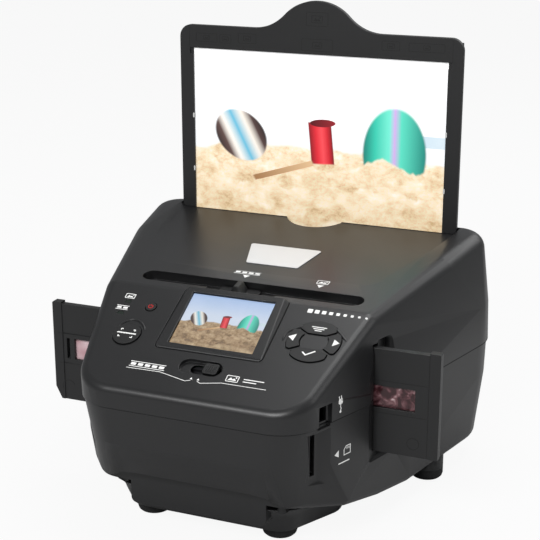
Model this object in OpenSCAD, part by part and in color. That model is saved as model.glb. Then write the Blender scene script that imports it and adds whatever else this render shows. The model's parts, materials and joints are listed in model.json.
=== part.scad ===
// Desktop scanner for film strips and photo prints.
// Frame: origin under the middle of the body, on the plane it stands on.
// +X is to the right of the person facing the screen, +Y to the back, +Z up. Millimetres.

/* [Body] */
// Depth of the body along the parting line
body_d = 221; // [216:1:230]
// Plan radius of the front corners
front_r = 26; // [20:0.5:28]
// Plan radius of the back corners
back_r = 36; // [26:0.5:38]
// Height of the parting line between the two housings
seam_z = 80.4; // [78:0.2:82]
// Height of the top at the back edge
top_z = 145; // [144:0.2:150]
// Wall thickness of both housings
wall = 2.5; // [2:0.1:3]
// Gap that shows at the parting line
seam_gap = 0.6; // [0.4:0.1:1]

/* [Control panel] */
// Depth of the sloped panel, from its front edge to its crest
panel_d = 74; // [72:0.5:78]
// Rise of the sloped panel from its front edge to its crest
panel_rise = 36.5; // [34:0.5:38]
// Height of the panel's front edge above the parting line
panel_lift = 11.6; // [11:0.2:14]
// Edge radius of the panel and its front corners
panel_r = 6; // [5:0.5:7]
// Edge radius of the shoulders at the back
shoulder_r = 10; // [8:0.5:11]

/* [Screen] */
// Width of the visible picture
screen_w = 52; // [48:0.5:56]
// Height of the visible picture
screen_h = 40; // [36:0.5:41]
// Width of the frame at each side of the picture
screen_side = 7; // [6:0.5:8]
// Extra tilt of the screen frame over the panel, in degrees
screen_tilt = 2.3; // [1:0.1:3]
// Distance of the frame's lower edge from the panel's front edge
screen_s = 35.3; // [34:0.1:37]

/* [Buttons] */
// Radius of the scan button
scan_r = 8.3; // [7:0.1:9]
// Radius of the power button
power_r = 3.3; // [2.5:0.1:4]
// Outer radius of the ring of four keys
ring_r = 15.6; // [14:0.1:16]
// Inner radius of the ring of four keys
ring_in_r = 8.4; // [7:0.1:9]
// How far a button sinks when it is pressed
press = 0.7; // [0.5:0.1:0.9]
// Gap around each button
key_gap = 0.4; // [0.3:0.05:0.5]

/* [Selector] */
// Length of the groove for the selector lever
groove_len = 141; // [130:1:150]
// Width of the groove
groove_w = 12.4; // [11:0.2:14]
// Depth of the groove
groove_depth = 6; // [5:0.2:7]
// Travel of the lever between its film place and its photo place
select_travel = 47.7; // [40:0.1:50]
// Place of the groove's middle
groove_x = 3; // [0:0.5:6]
// Place of the lever when film is scanned
lever_x = -4.8; // [-6:0.1:-3]

/* [Film holder] */
// Height of the film holder
holder_h = 62.7; // [60:0.1:64]
// Thickness of the closed holder
holder_t = 4; // [3.6:0.1:4.4]
// Height of the picture windows
window_h = 13.4; // [12:0.1:16]
// Length of one picture window
window_len = 33; // [30:0.1:34]
// Distance from one picture to the next
frame_pitch = 37; // [36:0.1:38]
// How far the holder stands to the right when it is at rest
holder_x = 2; // [0:0.1:4]
// Width of the film strip
film_h = 16; // [15:0.1:18]
// Gap between the holder and its guide, all round
holder_gap = 0.6; // [0.4:0.05:0.8]

/* [Photo tray] */
// Width of the print that the tray holds
print_w = 177.8; // [170:0.1:178]
// Height of the print
print_h = 127; // [120:0.5:127]
// Lip of the frame over each edge of the print
print_lip = 2; // [1.5:0.1:2.5]
// Thickness of the tray
tray_t = 5; // [4.5:0.1:5.4]
// How far the top of the tray's opening stands above the ground
opening_top_z = 251.4; // [248:0.2:254]
// Gap between the tray and its slot, all round
tray_gap = 0.5; // [0.4:0.05:0.7]

/* [Feet] */
// Radius of a rubber foot
foot_r = 10.3; // [9:0.1:11]
// Height of the body's underside over the ground
foot_h = 7; // [6:0.2:8]

/* [Hidden] */
$fn = 48;
eps = 0.01;
big = 400;                       // size of the blocks that cut a housing off at the parting line
touch = 0.3;                     // gap between a moving piece and its stop or seat
frames = 6;                      // pictures on one film strip
film_len = frame_pitch * frames + 1;
holder_len = film_len + 23.5;    // length of the film holder
tray_w = print_w + 14.8;         // width of the tray frame
back_w = tray_w + 54.4;          // greatest width of the body, near its back
front_w = back_w - 100.5;        // width of the body across its front corners
waist_w = back_w - 46;           // width of the body half way along its sides
front_y = -body_d / 2;           // front of the body at the parting line

// Plan outline at the parting line: rounds of the right half, each [x, y, radius]
flare = atan2((back_w - front_w) / 2, body_d - front_r - back_r);
waist_r = 60;
waist_y = front_y + 93.5;
front_c = [front_w / 2 - front_r, -body_d / 2 + front_r];
back_c = [back_w / 2 - back_r, body_d / 2 - back_r];
waist_c = [waist_w / 2 - waist_r * cos(flare), waist_y + waist_r * sin(flare)];

// Profile of the upper housing in the plane X = 0: [y, z] of its virtual corners
crease = [-body_d / 2 + 0.5, seam_z + panel_lift];
crest = [crease[0] + panel_d, crease[1] + panel_rise];
back_top = [body_d / 2 - 2.5, top_z];
knee = [(crest[0] + back_top[0]) / 2 + 9, top_z - 3.7];
panel_tilt = atan2(panel_rise, panel_d);
top_tilt = atan2(knee[1] - crest[1], knee[0] - crest[0]);
back_tilt = atan2(back_top[1] - knee[1], back_top[0] - knee[0]);
crest_r = panel_r + 1;
knee_r = shoulder_r;
front_lean = 1;                  // how far the panel's corners lie inside the front corners
crest_inset = 7.5;               // how far the side walls lean in at the crest
knee_inset = 10;
back_inset = 8;                  // the same at the back corners
shoulder_corner_r = 18;          // plan radius of the back corners at the top
bulge_z = 24;                    // height over the parting line up to which the back corners stay full
bulge_inset = 0.8;

// Underside of the lower housing
belly_front_z = 29.8;            // height of the front's lower edge
belly_back_z = 14;               // height of the back's lower edge
belly_front_r = 4;               // edge radius along the front
belly_side_r = 5;
belly_back_r = 6;
lower_corner_r = 22;             // plan radius of the front corners below the parting line
chin_corner = [front_w / 2 - 28.75, front_y + 24];     // middle of these corners where the front starts to lean in
belly_corner = [chin_corner[0] + 2, chin_corner[1] + 9.5];        // the same at the front's lower edge
// Lower edge of the front, which rises over the front block, each [x, z]
front_arch = [[57.9, 31.2], [54.2, 32.3], [49.6, 34.2], [44.7, 37.1], [36, 38.3]];
belly_lean = 2.5;                // how far the walls lean in at the back's lower edge
belly_side = [[-64, 22.5], [-34, 17], [-6, 14.5]];  // lower edge of the sides, each [y, z]
chin_z = 58;                     // height where the front starts to lean in
lip = 1;                         // how far the lower housing stands back at the parting line

// Feet, each [x, y]
foot_front = [40.3, front_y + 42.5];
foot_back = [back_w / 2 - 25.5, front_y + 146.9];
foot_pad = foot_r + 1.8;
plinth_back = [50.5, front_y + 70.5];       // round at the back end of the plinth
plinth_back_r = 16;
feet = [[-foot_front[0], foot_front[1]], foot_front, [-foot_back[0], foot_back[1]], foot_back];

// Film path
film_y = front_y + 70.7;         // middle of the film holder, front to back
film_z = seam_z - 0.65;          // middle of the film holder, in height
bar_t = holder_t + 1;            // thickness of the holder's end bars
bar_len = 6.4;                   // length of the end bars
bar_rise = 1.2;                  // how far they stand over the plate's upper edge
guide_wall = 1.6;
guide_half = bar_t / 2 + holder_gap;
guide_len = 150;
guide_front_y = film_y - guide_half - guide_wall;
guide_back_y = film_y + guide_half + guide_wall;

// Print path
tray_y = body_d / 2 - 17.5;      // front face of the tray
opening_w = print_w - 2 * print_lip;
opening_h = print_h - 2 * print_lip;
tray_top_z = opening_top_z + 15.2;
tray_foot_z = opening_top_z - opening_h - 8;
arch_w = 87.6;                   // width of the arched handle at its foot
arch_h = 18.8;                   // height of its peak over the frame's top edge
// The crown and the hollow at each end have one radius and meet half way up
arch_crown_r = (arch_w * arch_w / 4 + arch_h * arch_h) / (4 * arch_h);
arch_foot_r = arch_crown_r;
arch_join_z = tray_top_z + arch_h / 2;
floor_z = belly_back_z + wall + 0.5;
tray_down = tray_foot_z - floor_z - 3;
tray_up = 15;
guide_clear_z = 46;              // the tray guides keep clear of the round back corners below this

// Inside layout
bed_z = 40;                      // underside of the plate that carries the optics
bed_t = 3;
bed_top = bed_z + bed_t;
board_t = 1.6;
camera_half = 13;                // half the width of the sensor board
key_board_drop = 9.3;            // depth of the key board under the panel surface
rod_r = 2;
rod_gap = 0.05;                  // running clearance of the carriage on its rods
rod_y = film_y + 17;
rod_low_z = bed_top + 7;
rod_high_z = film_z + 33;
rod_end_x = 78;
carriage_w = 42;
carriage_front_y = guide_back_y + 0.6;
port_point = [front_w / 2 + 4.05, front_y + 29];      // point of the right wall beside the two ports
port_turn = -22.2;               // direction of the wall's normal there
screw_r = 1.5;

// Plate in the middle of the front, under the belly
plate_w = 84.4;
plate_y = front_y + 16.6;
plate_z = 15.6;
plate_r = 3.5;
case_screw_places = [[-50, front_y + 22.5], [50, front_y + 22.5], [-104, 62], [104, 62]];
case_screw_seat = [40, 40, 24, 24];     // height of each screw's head seat
bed_screw_places = [[-66, film_y - 6.2], [66, film_y - 6.2], [-66, film_y + 47.8], [66, film_y + 47.8]];

// ---------- helpers ----------

// Places children on the panel at x, and s up the slope from its front edge; +Z points out of it
module on_panel(x, s, lift = 0)
    translate([x, crease[0], crease[1]]) rotate([panel_tilt, 0, 0]) translate([0, s, lift]) children();

// Places children on the top surface behind the crest, at a given y
module on_top(x, y, lift = 0)
    translate([x, y, crest[1] + (y - crest[0]) * tan(top_tilt)]) rotate([top_tilt, 0, 0])
        translate([0, 0, lift]) children();

// Places children at the ports: +X out of the right wall, +Y along it to the back
module at_ports()
    translate([port_point[0], port_point[1], 0]) rotate([0, 0, port_turn]) children();

// Body of the same outline on both sides of X = 0
module both_sides() for (side = [0, 1]) mirror([side, 0, 0]) children();

// Ring of round section, which hull() turns into a disc with a rounded rim
module rim(outer, edge) rotate_extrude($fn = 48) intersection() {
    translate([outer - edge, 0]) circle(edge, $fn = 32);
    translate([0, -edge]) square([outer, 2 * edge]);
}

// Centre of a round of radius r that touches both lines meeting at corner p
function inner_corner(p, tilt_before, tilt_after, r) =
    let (m = (tilt_before + tilt_after) / 2, d = (tilt_before - tilt_after) / 2)
    [p[0] + r * sin(m) / cos(d), p[1] - r * cos(m) / cos(d)];

// Half width of the body at the parting line, along its straight sides
function side_x(y) = y < waist_c[1]
    ? waist_w / 2 + (y - waist_y) * tan(flare) - 0.4
    : min(back_w / 2, waist_w / 2 + (y - waist_y) * tan(flare) * 0.9);

module plan(inset, h) linear_extrude(h) hull() both_halves_2d()
    for (c = [[front_c, front_r], [waist_c, waist_r], [back_c, back_r]])
        translate(c[0]) circle(c[1] - inset, $fn = 64);

module both_halves_2d() for (side = [0, 1]) mirror([side, 0]) children();

// Rounded box, flat at top and bottom
module rounded_plate(size, r) linear_extrude(size[2]) offset(r, $fn = 24)
    square([size[0] - 2 * r, size[1] - 2 * r], center = true);

module stadium(len, w, h) linear_extrude(h) hull() for (side = [-1, 1])
    translate([side * (len - w) / 2, 0]) circle(w / 2, $fn = 32);

// Screw with a pan head at its lower end
module screw(r, len, head_r, head_h) {
    cylinder(r = head_r, h = head_h);
    translate([0, 0, head_h - eps]) cylinder(r = r, h = len + eps);
}

// ---------- housings ----------

// Outer form of the upper housing, drawn in by inset
module upper_form(inset) {
    rim_front = front_r - front_lean;
    tube_s = panel_r * (1 - sin(panel_tilt)) / cos(panel_tilt);
    crest_in = inner_corner(crest, panel_tilt, top_tilt, crest_r);
    knee_in = inner_corner(knee, top_tilt, back_tilt, knee_r);
    hull() {
        translate([0, 0, seam_z - (inset > 0 ? 1 : 0)]) plan(inset, 0.2);
        both_sides() {
            on_panel(front_c[0] + 0.8, tube_s + rim_front - panel_r, -panel_r) rim(rim_front - inset, panel_r - inset);
            translate([side_x(crest[0]) - crest_inset - crest_r, crest_in[0], crest_in[1]]) sphere(crest_r - inset, $fn = 32);
            translate([side_x(knee[0]) - knee_inset - knee_r, knee_in[0], knee_in[1]]) sphere(knee_r - inset, $fn = 32);
            translate([back_c[0], back_c[1], seam_z + bulge_z]) cylinder(r = back_r - bulge_inset - inset, h = 0.2);
            translate([back_w / 2 - back_inset - shoulder_corner_r, back_top[0] - shoulder_corner_r, back_top[1] - shoulder_r])
                rotate([back_tilt, 0, 0]) rim(shoulder_corner_r - inset, shoulder_r - inset);
        }
    }
}

// Outer form of the lower housing, drawn in by inset
module lower_form(inset) {
    difference() {
        belly(inset);
        translate([0, plate_y + inset, inset]) rotate([90, 0, 0]) linear_extrude(30)
            both_halves_2d() polygon(concat([[0, 0], [front_arch[0][0], 0]], front_arch, [[0, front_arch[4][1]]]));
    }
    plinth(inset);
}

module belly(inset) hull() {
    translate([0, 0, seam_z - seam_gap - (inset > 0 ? -1 : 0.2)]) plan(lip + inset, 0.2);
    translate([0, 0, chin_z]) linear_extrude(0.2) hull() both_halves_2d()
        for (c = [[chin_corner, lower_corner_r], [waist_c, waist_r - lip - 1.2], [back_c, back_r - lip - 0.6]])
            translate(c[0]) circle(c[1] - inset, $fn = 64);
    both_sides() {
        translate([belly_corner[0], belly_corner[1], belly_front_z + belly_front_r])
            rim(lower_corner_r - inset, belly_front_r - inset);
        for (place = belly_side) translate([side_x(place[0]) - lip - 3 - belly_side_r, place[0], place[1] + belly_side_r])
            sphere(belly_side_r - inset, $fn = 24);
        translate([back_c[0] - belly_lean, back_c[1] - belly_lean, belly_back_z + belly_back_r])
            rim(back_r - lip - 2 - inset, belly_back_r - inset);
    }
}

// Flare of the plinth under the belly, each [height, how far it stands out]
flare_steps = [[foot_h, 1], [foot_h + 5.5, 3.2], [foot_h + 9, 4.7], [foot_h + 12, 5.7], [foot_h + 15, 7.6], [foot_h + 18.5, 11.7]];

// Plinth that carries the front feet, flared where it meets the belly, and pads over the back feet
module plinth(inset) {
    translate([0, 0, foot_h + inset]) linear_extrude(belly_front_z - foot_h - belly_side_r) plinth_plan(inset);
    for (i = [1 : len(flare_steps) - 1]) hull() for (step = [flare_steps[i - 1], flare_steps[i]])
        translate([0, 0, step[0] + inset]) linear_extrude(0.2) plinth_plan(inset - step[1]);
    if (inset == 0) for (i = [2, 3]) translate([feet[i][0], feet[i][1], foot_h]) cylinder(r = foot_r, h = belly_back_z - foot_h + wall);
}

module plinth_plan(inset) hull() both_halves_2d() {
    translate(foot_front) circle(foot_pad - inset, $fn = 32);
    translate(plinth_back) circle(plinth_back_r - inset, $fn = 32);
}

module groove_cut() {
    on_top(groove_x, rod_y, -groove_depth) stadium(groove_len, groove_w, groove_depth + 5);
    // Ramp for the finger in the groove's front rim, above the screen
    hull() {
        on_top(0, rod_y - groove_w / 2, -3) translate([-22, -0.5, 0]) cube([43, 1, 6]);
        on_top(0, rod_y - groove_w / 2 - 6, 0) translate([-23.5, 0, 0]) cube([46, 1, 6]);
    }
    // Passage for the lever's stem through the groove's floor
    on_top(lever_x + select_travel / 2, rod_y, -groove_depth - 6) stadium(select_travel + 12, 7, 12);
}

// Floor of the dip in front of the tray slot: it starts low behind the groove and runs out under the slot
dip_low = [crest[0] + 38.5, crest[1] + 3.2];
dip_high = [tray_y, top_z - 2.6];
dip_tilt = atan2(dip_high[1] - dip_low[1], dip_high[0] - dip_low[0]);
dip_corner = [63.5, 6];          // middle of its front corners, across and up the floor
dip_corner_r = 6;
dip_wall_run = 2.2;              // how far the sloped front and side walls lean out for each mm of height
dip_back_x = 94;

// Places children on the floor of the dip at x, and d behind its front edge
module on_dip(x, d, lift = 0) translate([0, dip_low[0], dip_low[1]]) rotate([dip_tilt, 0, 0]) translate([x, d, lift]) children();

module top_dip() {
    rise = 6;
    hull() both_sides() {
        on_dip(dip_corner[0], dip_corner[1]) cylinder(r1 = dip_corner_r, r2 = dip_corner_r + dip_wall_run * rise, h = rise);
        on_dip(dip_back_x, tray_y - dip_low[0] - 1) cylinder(r1 = 0.8, r2 = 0.8 + rise, h = rise, $fn = 24);
    }
}

module tray_slot_cut() {
    translate([-tray_w / 2 - 1.2, tray_y - tray_gap, seam_z]) cube([tray_w + 2.4, tray_t + 2 * tray_gap, top_z]);
    // Finger notch in the front edge of the slot
    translate([0, tray_y + 8, top_z - 12]) cylinder(r = 21, h = 20);
}

module film_passage_cut(side) {
    half_h = holder_h / 2 + holder_gap;
    // Slot for the holder
    translate([side * 60, film_y - guide_half, film_z - half_h]) mirror([side < 0 ? 1 : 0, 0, 0])
        cube([90, 2 * guide_half, 2 * half_h + bar_rise]);
    // Shallow bay in the side wall for the fingers
    bay_x = side_x(film_y) - 6;
    hull() for (z = [44 + 1, 111], y = [-47.5, -28])
        translate([side * (bay_x + 15), y, z]) rotate([0, 90, 0]) cylinder(r = z > 100 ? 3.5 : 1.5, h = 30, center = true, $fn = 24);
}

module usb_cut() at_ports() {
    translate([-4, -11.5, seam_z - 2]) cube([12, 10.7, 13.7]);
    translate([-16, -9.9, seam_z + 1.2]) cube([20, 7.6, 8.6]);
}

// Finger recess in the side wall near the front, the same on both sides: a floor that faces out, a sloped
// wall behind it and a three-cornered flank in front. Both outlines are [along the wall, height].
recess_floor = [[-14.9, 44.5], [-5, 44.5], [-5, 77], [-14.9, 77]];
recess_rim = [[-13.8, 39.5], [5.5, 39.5], [5.5, 77.2], [-13.8, 77.2]];
flank_floor = [[-14.6, 54], [-14.6, 77.2]];
flank_rim = [[-14.6, 54], [-14.6, 77.2], [-28.5, 77.2]];

module wall_slice(x, outline) translate([x, 0, 0]) rotate([90, 0, 90]) linear_extrude(eps) polygon(outline);

module side_recess_cut() {
    hull() {
        wall_slice(-7, recess_floor);
        wall_slice(4, recess_rim);
    }
    hull() {
        wall_slice(-5, [flank_floor[0], flank_floor[1], flank_floor[1] + [0.5, 0]]);
        wall_slice(4, flank_rim);
    }
}

module card_cut() {
    at_ports() side_recess_cut();
    mirror([1, 0, 0]) at_ports() side_recess_cut();
    at_ports() translate([-16, -11.8, 49.5]) cube([20, 3.6, 25.5]);
}

module key_holes() {
    on_panel(scan_place[0], scan_place[1], -8) cylinder(r = scan_r + key_gap, h = 16);
    on_panel(power_place[0], power_place[1], -8) cylinder(r = power_r + key_gap, h = 16);
    for (key = ["mode", "enter", "left", "right"]) on_panel(ring_place[0], ring_place[1], -8)
        linear_extrude(16) offset(key_gap, $fn = 16) key_outline(key);
    for (place = light_places) on_panel(place[0], place[1], -8) linear_extrude(16) offset(0.15) light_outline();
    // Finger hollow of the mode switch, then its slot
    on_panel(switch_place[0], switch_place[1], -2.2) stadium(25.9, 10.6, 10);
    on_panel(switch_place[0] + 3, switch_place[1], -8) stadium(19, 6.4, 12);
}

module boss(x, y, z0, z1, r, bore_r) translate([x, y, z0]) difference() {
    cylinder(r = r, h = z1 - z0);
    translate([0, 0, -1]) cylinder(r = bore_r, h = z1 - z0 + 2);
}

module upper_housing() color("#2b2c2e") {
    difference() {
        union() {
            difference() {
                upper_form(0);
                upper_form(wall);
            }
            // Pan of the lever's groove
            intersection() {
                upper_form(0.4);
                on_top(groove_x, rod_y, -groove_depth - wall) stadium(groove_len + 2 * wall, groove_w + 2 * wall, groove_depth + wall);
            }
            // Thicker floor under the dip, and the walls of the tray slot
            intersection() {
                upper_form(0.4);
                union() {
                    translate([-tray_w / 2 - 4, tray_y - 3.5, top_z - 14]) cube([tray_w + 8, tray_t + 7, 20]);
                    hull() both_sides() {
                        on_dip(dip_corner[0], dip_corner[1], -wall) cylinder(r = dip_corner_r + 8, h = 16, $fn = 32);
                        on_dip(dip_back_x, tray_y - dip_low[0], -wall) cylinder(r = 3, h = 16, $fn = 16);
                    }
                    translate([0, tray_y + 8, top_z - 6]) cylinder(r = 23.5, h = 10);
                }
            }
            // Screw bosses
            intersection() {
                upper_form(0.4);
                for (p = case_screw_places) translate([p[0], p[1], seam_z - 4]) cylinder(r = 4.5, h = 70, $fn = 24);
            }
            // Back walls of the two finger bays, and the wall behind the plug opening
            intersection() {
                upper_form(0.4);
                union() {
                    film_bay_wall();
                    at_ports() translate([-6.3, -14, seam_z - 2]) cube([12, 15.5, 16]);
                }
            }
        }
        groove_cut();
        top_dip();
        tray_slot_cut();
        for (side = [-1, 1]) film_passage_cut(side);
        usb_cut();
        key_holes();
        on_panel(0, screen_s + screen_out_h / 2, -8) rounded_plate([screen_out_w + 0.6, screen_out_h + 0.6, 16], 3.3);
        for (p = case_screw_places) translate([p[0], p[1], seam_z - 5]) cylinder(r = screw_r, h = 17);
        // Everything starts at the parting line
        translate([-big / 2, -big / 2, seam_z - 10]) cube([big, big, 10]);
    }
}

module film_bay_wall() {
    for (side = [-1, 1]) {
        bay_x = side_x(film_y) - 6;
        hull() for (z = [44, 112], y = [-48.5, -27])
            translate([side * (bay_x - wall), y, z]) rotate([0, side * 90, 0]) cylinder(r = 4.5, h = 12, $fn = 24);
    }
}

module lower_housing() color("#262729") {
    difference() {
        union() {
            difference() {
                lower_form(0);
                lower_form(wall);
            }
            // Front block under the belly
            hull() {
                both_sides() translate([plate_w / 2 - plate_r, plate_y, plate_z + plate_r]) rotate([-90, 0, 0])
                    cylinder(r = plate_r, h = 14, $fn = 32);
                translate([-plate_w / 2, plate_y, front_arch[3][1] - 2]) cube([plate_w, 13, 1]);
            }
            // Bosses for the case screws and the optical bed
            for (i = [0 : 3]) boss(case_screw_places[i][0], case_screw_places[i][1], case_screw_seat[i] - 8, seam_z + 1, 4.5, screw_r + 0.3);
            for (p = bed_screw_places) boss(p[0], p[1], p[1] < 0 ? 19 : 15, bed_z, 4, screw_r - 0.3);
            intersection() {
                lower_form(0.4);
                film_bay_wall();
            }
            // Walls behind the two side recesses
            intersection() {
                lower_form(0.4);
                both_sides() at_ports() translate([-9.2, -34, 38]) cube([14, 41, 43]);
            }
            // Sockets that hold the feet of the tray guides
            both_sides() translate([tray_w / 2 - 8, tray_y - 6, belly_back_z + 1]) cube([18, 1.8, 10]);
        }
        for (side = [-1, 1]) film_passage_cut(side);
        card_cut();
        usb_cut();
        for (i = [0 : 3]) translate([case_screw_places[i][0], case_screw_places[i][1], 0])
            cylinder(r = 3.2, h = case_screw_seat[i]);
        for (p = case_screw_places) translate([p[0], p[1], 0]) cylinder(r = screw_r + 0.3, h = seam_z + 1);
        // Everything ends at the parting line
        translate([-big / 2, -big / 2, seam_z]) cube([big, big, 10]);
        difference() {
            translate([-big / 2, -big / 2, seam_z - seam_gap]) cube([big, big, 10]);
            for (p = case_screw_places) translate([p[0], p[1], seam_z - 5]) cylinder(r = 4.5, h = 10);
        }
        for (p = feet) translate([p[0], p[1], foot_h - 1]) cylinder(r = 3, h = wall + 2, $fn = 24);
        // The photographs drop clear of the floor
        translate([-tray_w / 2 - 1.5, tray_y - 1, floor_z + 1]) cube([tray_w + 3, tray_t + 2, 100]);
    }
}

module case_screws() color("silver") for (i = [0 : 3])
    translate([case_screw_places[i][0], case_screw_places[i][1], case_screw_seat[i] - 1.8])
        screw(screw_r, seam_z + 9 - case_screw_seat[i], 2.8, 1.8);

module foot() color("#151515") rotate_extrude($fn = 64) polygon([
    [0, 0], [foot_r - 3, 0], [foot_r - 1.4, 0.5], [foot_r - 0.5, 1.4], [foot_r, 3], [foot_r, foot_h], [2.9, foot_h], [2.9, foot_h + wall + 0.6], [0, foot_h + wall + 0.6]]);

module foot_at(i) translate([feet[i][0], feet[i][1], 0]) foot();

module blank_badge() color("white") badge_plane() linear_extrude(0.5) offset(1.5, $fn = 24) polygon([
    [-14.5, -13.5], [17, -13.5], [22, 12.5], [-22, 12.5]]);

// Middle of the badge, on the floor of the dip
module badge_plane() on_dip(0, 27) children();

// ---------- control panel ----------

screen_out_w = screen_w + 2 * screen_side;
screen_out_h = screen_h + 2 * 4.6;
scan_place = [-53.2, 41.6];
power_place = [-48.2, 65.2];
ring_place = [57, 55.8];
switch_place = [0.5, 25.1];
light_places = [[-64.3, 66.6], [-64.9, 57]];

module screen_plane(lift = 0) on_panel(0, screen_s, 0.6) rotate([screen_tilt, 0, 0])
    translate([0, screen_out_h / 2, lift]) children();

// Frame of the screen: its foot fills the seat in the panel, and its face tilts out of the panel and narrows upwards
screen_narrowing = 2.3;          // at each side of the upper edge

module screen_frame() color("#232426") difference() {
    hull() {
        on_panel(0, screen_s + screen_out_h / 2, -4) rounded_plate([screen_out_w, screen_out_h, 4], 3);
        screen_plane(-0.5) linear_extrude(0.5) offset(1) polygon([for (corner = [[-1, -1], [1, -1], [1, 1], [-1, 1]])
            [corner[0] * (screen_out_w / 2 - 1.5 - (corner[1] > 0 ? screen_narrowing : 0)), corner[1] * (screen_out_h / 2 - 1.5)]]);
    }
    screen_plane(-6) translate([-screen_w / 2, -screen_h / 2, 0]) cube([screen_w, screen_h, 9]);
    // Rebate for the glass, under the lip
    screen_plane(-7) translate([-screen_w / 2 - 2.2, -screen_h / 2 - 2.2, 0]) cube([screen_w + 4.4, screen_h + 4.4, 6]);
}

module screen_glass() color("#101418", 0.6) screen_plane(-2.2)
    translate([-screen_w / 2 - 2, -screen_h / 2 - 2, 0]) cube([screen_w + 4, screen_h + 4, 1.2]);

module screen_module() color("#7f99b4") screen_plane(-6.2)
    translate([-screen_w / 2 - 2, -screen_h / 2 - 2, 0]) cube([screen_w + 4, screen_h + 4, 4]);

module light_outline() intersection() {
    circle(2.1, $fn = 32);
    translate([-3, -0.4]) square([6, 4]);
}

module status_lights() color("#3a3f3a") for (place = light_places) on_panel(place[0], place[1], -key_board_drop + board_t)
    linear_extrude(key_board_drop - board_t - 0.2) light_outline();

key_board_outline = [[-56, 14], [56, 14], [77, 72], [34, 72], [34, 34], [-34, 34], [-34, 72], [-77, 72]];

module key_board() color("#1f5a35") difference() {
    on_panel(0, 0, -key_board_drop) linear_extrude(board_t) polygon(key_board_outline);
    // Notches clear the screw bosses of the case
    for (p = case_screw_places) translate([p[0], p[1], seam_z]) cylinder(r = 5, h = 80);
}

// Height of the switch bodies that the buttons reach down to
switch_top = 2.6;
flange_t = 1;
flange_w = 0.9;

module key_switches() color("#3c3c3c") for (place = concat([scan_place, power_place], ring_stems))
    on_panel(place[0], place[1], -key_board_drop + board_t) {
        translate([-3, -3, 0]) cube([6, 6, switch_top - 0.8]);
        cylinder(r = 1.7, h = switch_top);
    }

ring_stems = [for (a = [90, -90, 180, 0]) ring_place + 12.4 * [cos(a), sin(a)]];

function key_turn(key) = key == "mode" ? 0 : key == "enter" ? 180 : key == "left" ? 90 : -90;

// Plan of one key of the ring
module key_outline(key) {
    wide = key == "mode" || key == "enter";
    rotate(key_turn(key)) intersection() {
        circle(ring_r, $fn = 64);
        if (wide) polygon([[-5.4, 5.7], [5.4, 5.7], [10.5, 8.6], [9, 20], [-9, 20], [-10.5, 8.6]]);
        else difference() {
            polygon([[-4.2, 6.5], [4.2, 6.5], [7.4, 12], [6, 20], [-6, 20], [-7.4, 12]]);
            circle(ring_in_r, $fn = 48);
        }
    }
}

// Button: a cap through the panel, a flange under it and a stem down to its switch
module button(place, stem, cap_top) {
    on_panel(place[0], place[1], -wall - touch - flange_t) {
        linear_extrude(wall + touch + flange_t + cap_top) children(0);
        linear_extrude(flange_t) children(1);
    }
    stem_low = -key_board_drop + board_t + switch_top + press + touch;
    on_panel(stem[0], stem[1], stem_low) cylinder(r = 1.5, h = -wall - touch - stem_low - 0.5);
}

module round_button(place, r, cap_top) button(place, place, cap_top) {
    circle(r);
    circle(r + key_gap + flange_w);
}

// Key of the ring, held by a tab at its outer and inner edge
module ring_key(key, i) button(ring_place, ring_stems[i], 0.8) {
    key_outline(key);
    rotate(key_turn(key)) translate([-3, key == "mode" || key == "enter" ? 5.7 - key_gap - flange_w : ring_in_r - 1.6])
        square([6, ring_r + key_gap + flange_w - 0.2 - (key == "mode" || key == "enter" ? 5.7 - key_gap - flange_w : ring_in_r - 1.6)]);
}

module scan_button() color("#141414") round_button(scan_place, scan_r, 0.9);
module power_button() color("#141414") round_button(power_place, power_r, 0.5);
module mode_button() color("#141414") ring_key("mode", 0);
module enter_button() color("#141414") ring_key("enter", 1);
module left_button() color("#141414") ring_key("left", 2);
module right_button() color("#141414") ring_key("right", 3);

// Two-position switch: its case on the key board and the slider that the finger moves
slider_travel = 4.2;
slider_x = switch_place[0] + 4.6;

module mode_switch_case() color("#3c3c3c") difference() {
    on_panel(switch_place[0] - 9, switch_place[1] - 4, -key_board_drop + board_t) cube([20, 8, 3.2]);
    on_panel(switch_place[0] - 7.5, switch_place[1] - 2, -key_board_drop + board_t + 1.2) cube([17, 4, 5]);
}

module mode_slider() color("#1d1d1d") {
    // Thumb piece in the finger hollow
    on_panel(slider_x + 1.6, switch_place[1], -2.2 + touch) rounded_plate([8.6, 7.6, 2.2], 1.5);
    // Neck through the panel and fork in the switch case
    on_panel(slider_x, switch_place[1], -key_board_drop + board_t + 1.6) translate([-2.5, -1.6, 0])
        cube([5, 3.2, key_board_drop - board_t - 1.6 - 2.2 + touch + 0.5]);
}

// ---------- optics ----------

module optical_bed() color("#2e2e30") difference() {
    linear_extrude_at(bed_z, bed_t) polygon([[-57, -88.5], [57, -88.5], [rod_end_x + 4, -30], [rod_end_x + 4, 14], [-rod_end_x - 4, 14], [-rod_end_x - 4, -30]]);
    for (p = bed_screw_places) translate([p[0], p[1], bed_z - 1]) cylinder(r = screw_r + 0.2, h = bed_t + 2);
    for (p = case_screw_places) translate([p[0], p[1], bed_z - 1]) cylinder(r = 5, h = bed_t + 2);
}

module linear_extrude_at(z, h) translate([0, 0, z]) linear_extrude(h) children();

module bed_screws() color("silver") for (p = bed_screw_places) translate([p[0], p[1], bed_top + 1.8])
    mirror([0, 0, 1]) screw(screw_r - 0.3, 12, 2.8, 1.8);

module main_board() color("#1f5a35") translate([-50, -60, 24]) cube([100, 90, board_t]);

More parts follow.
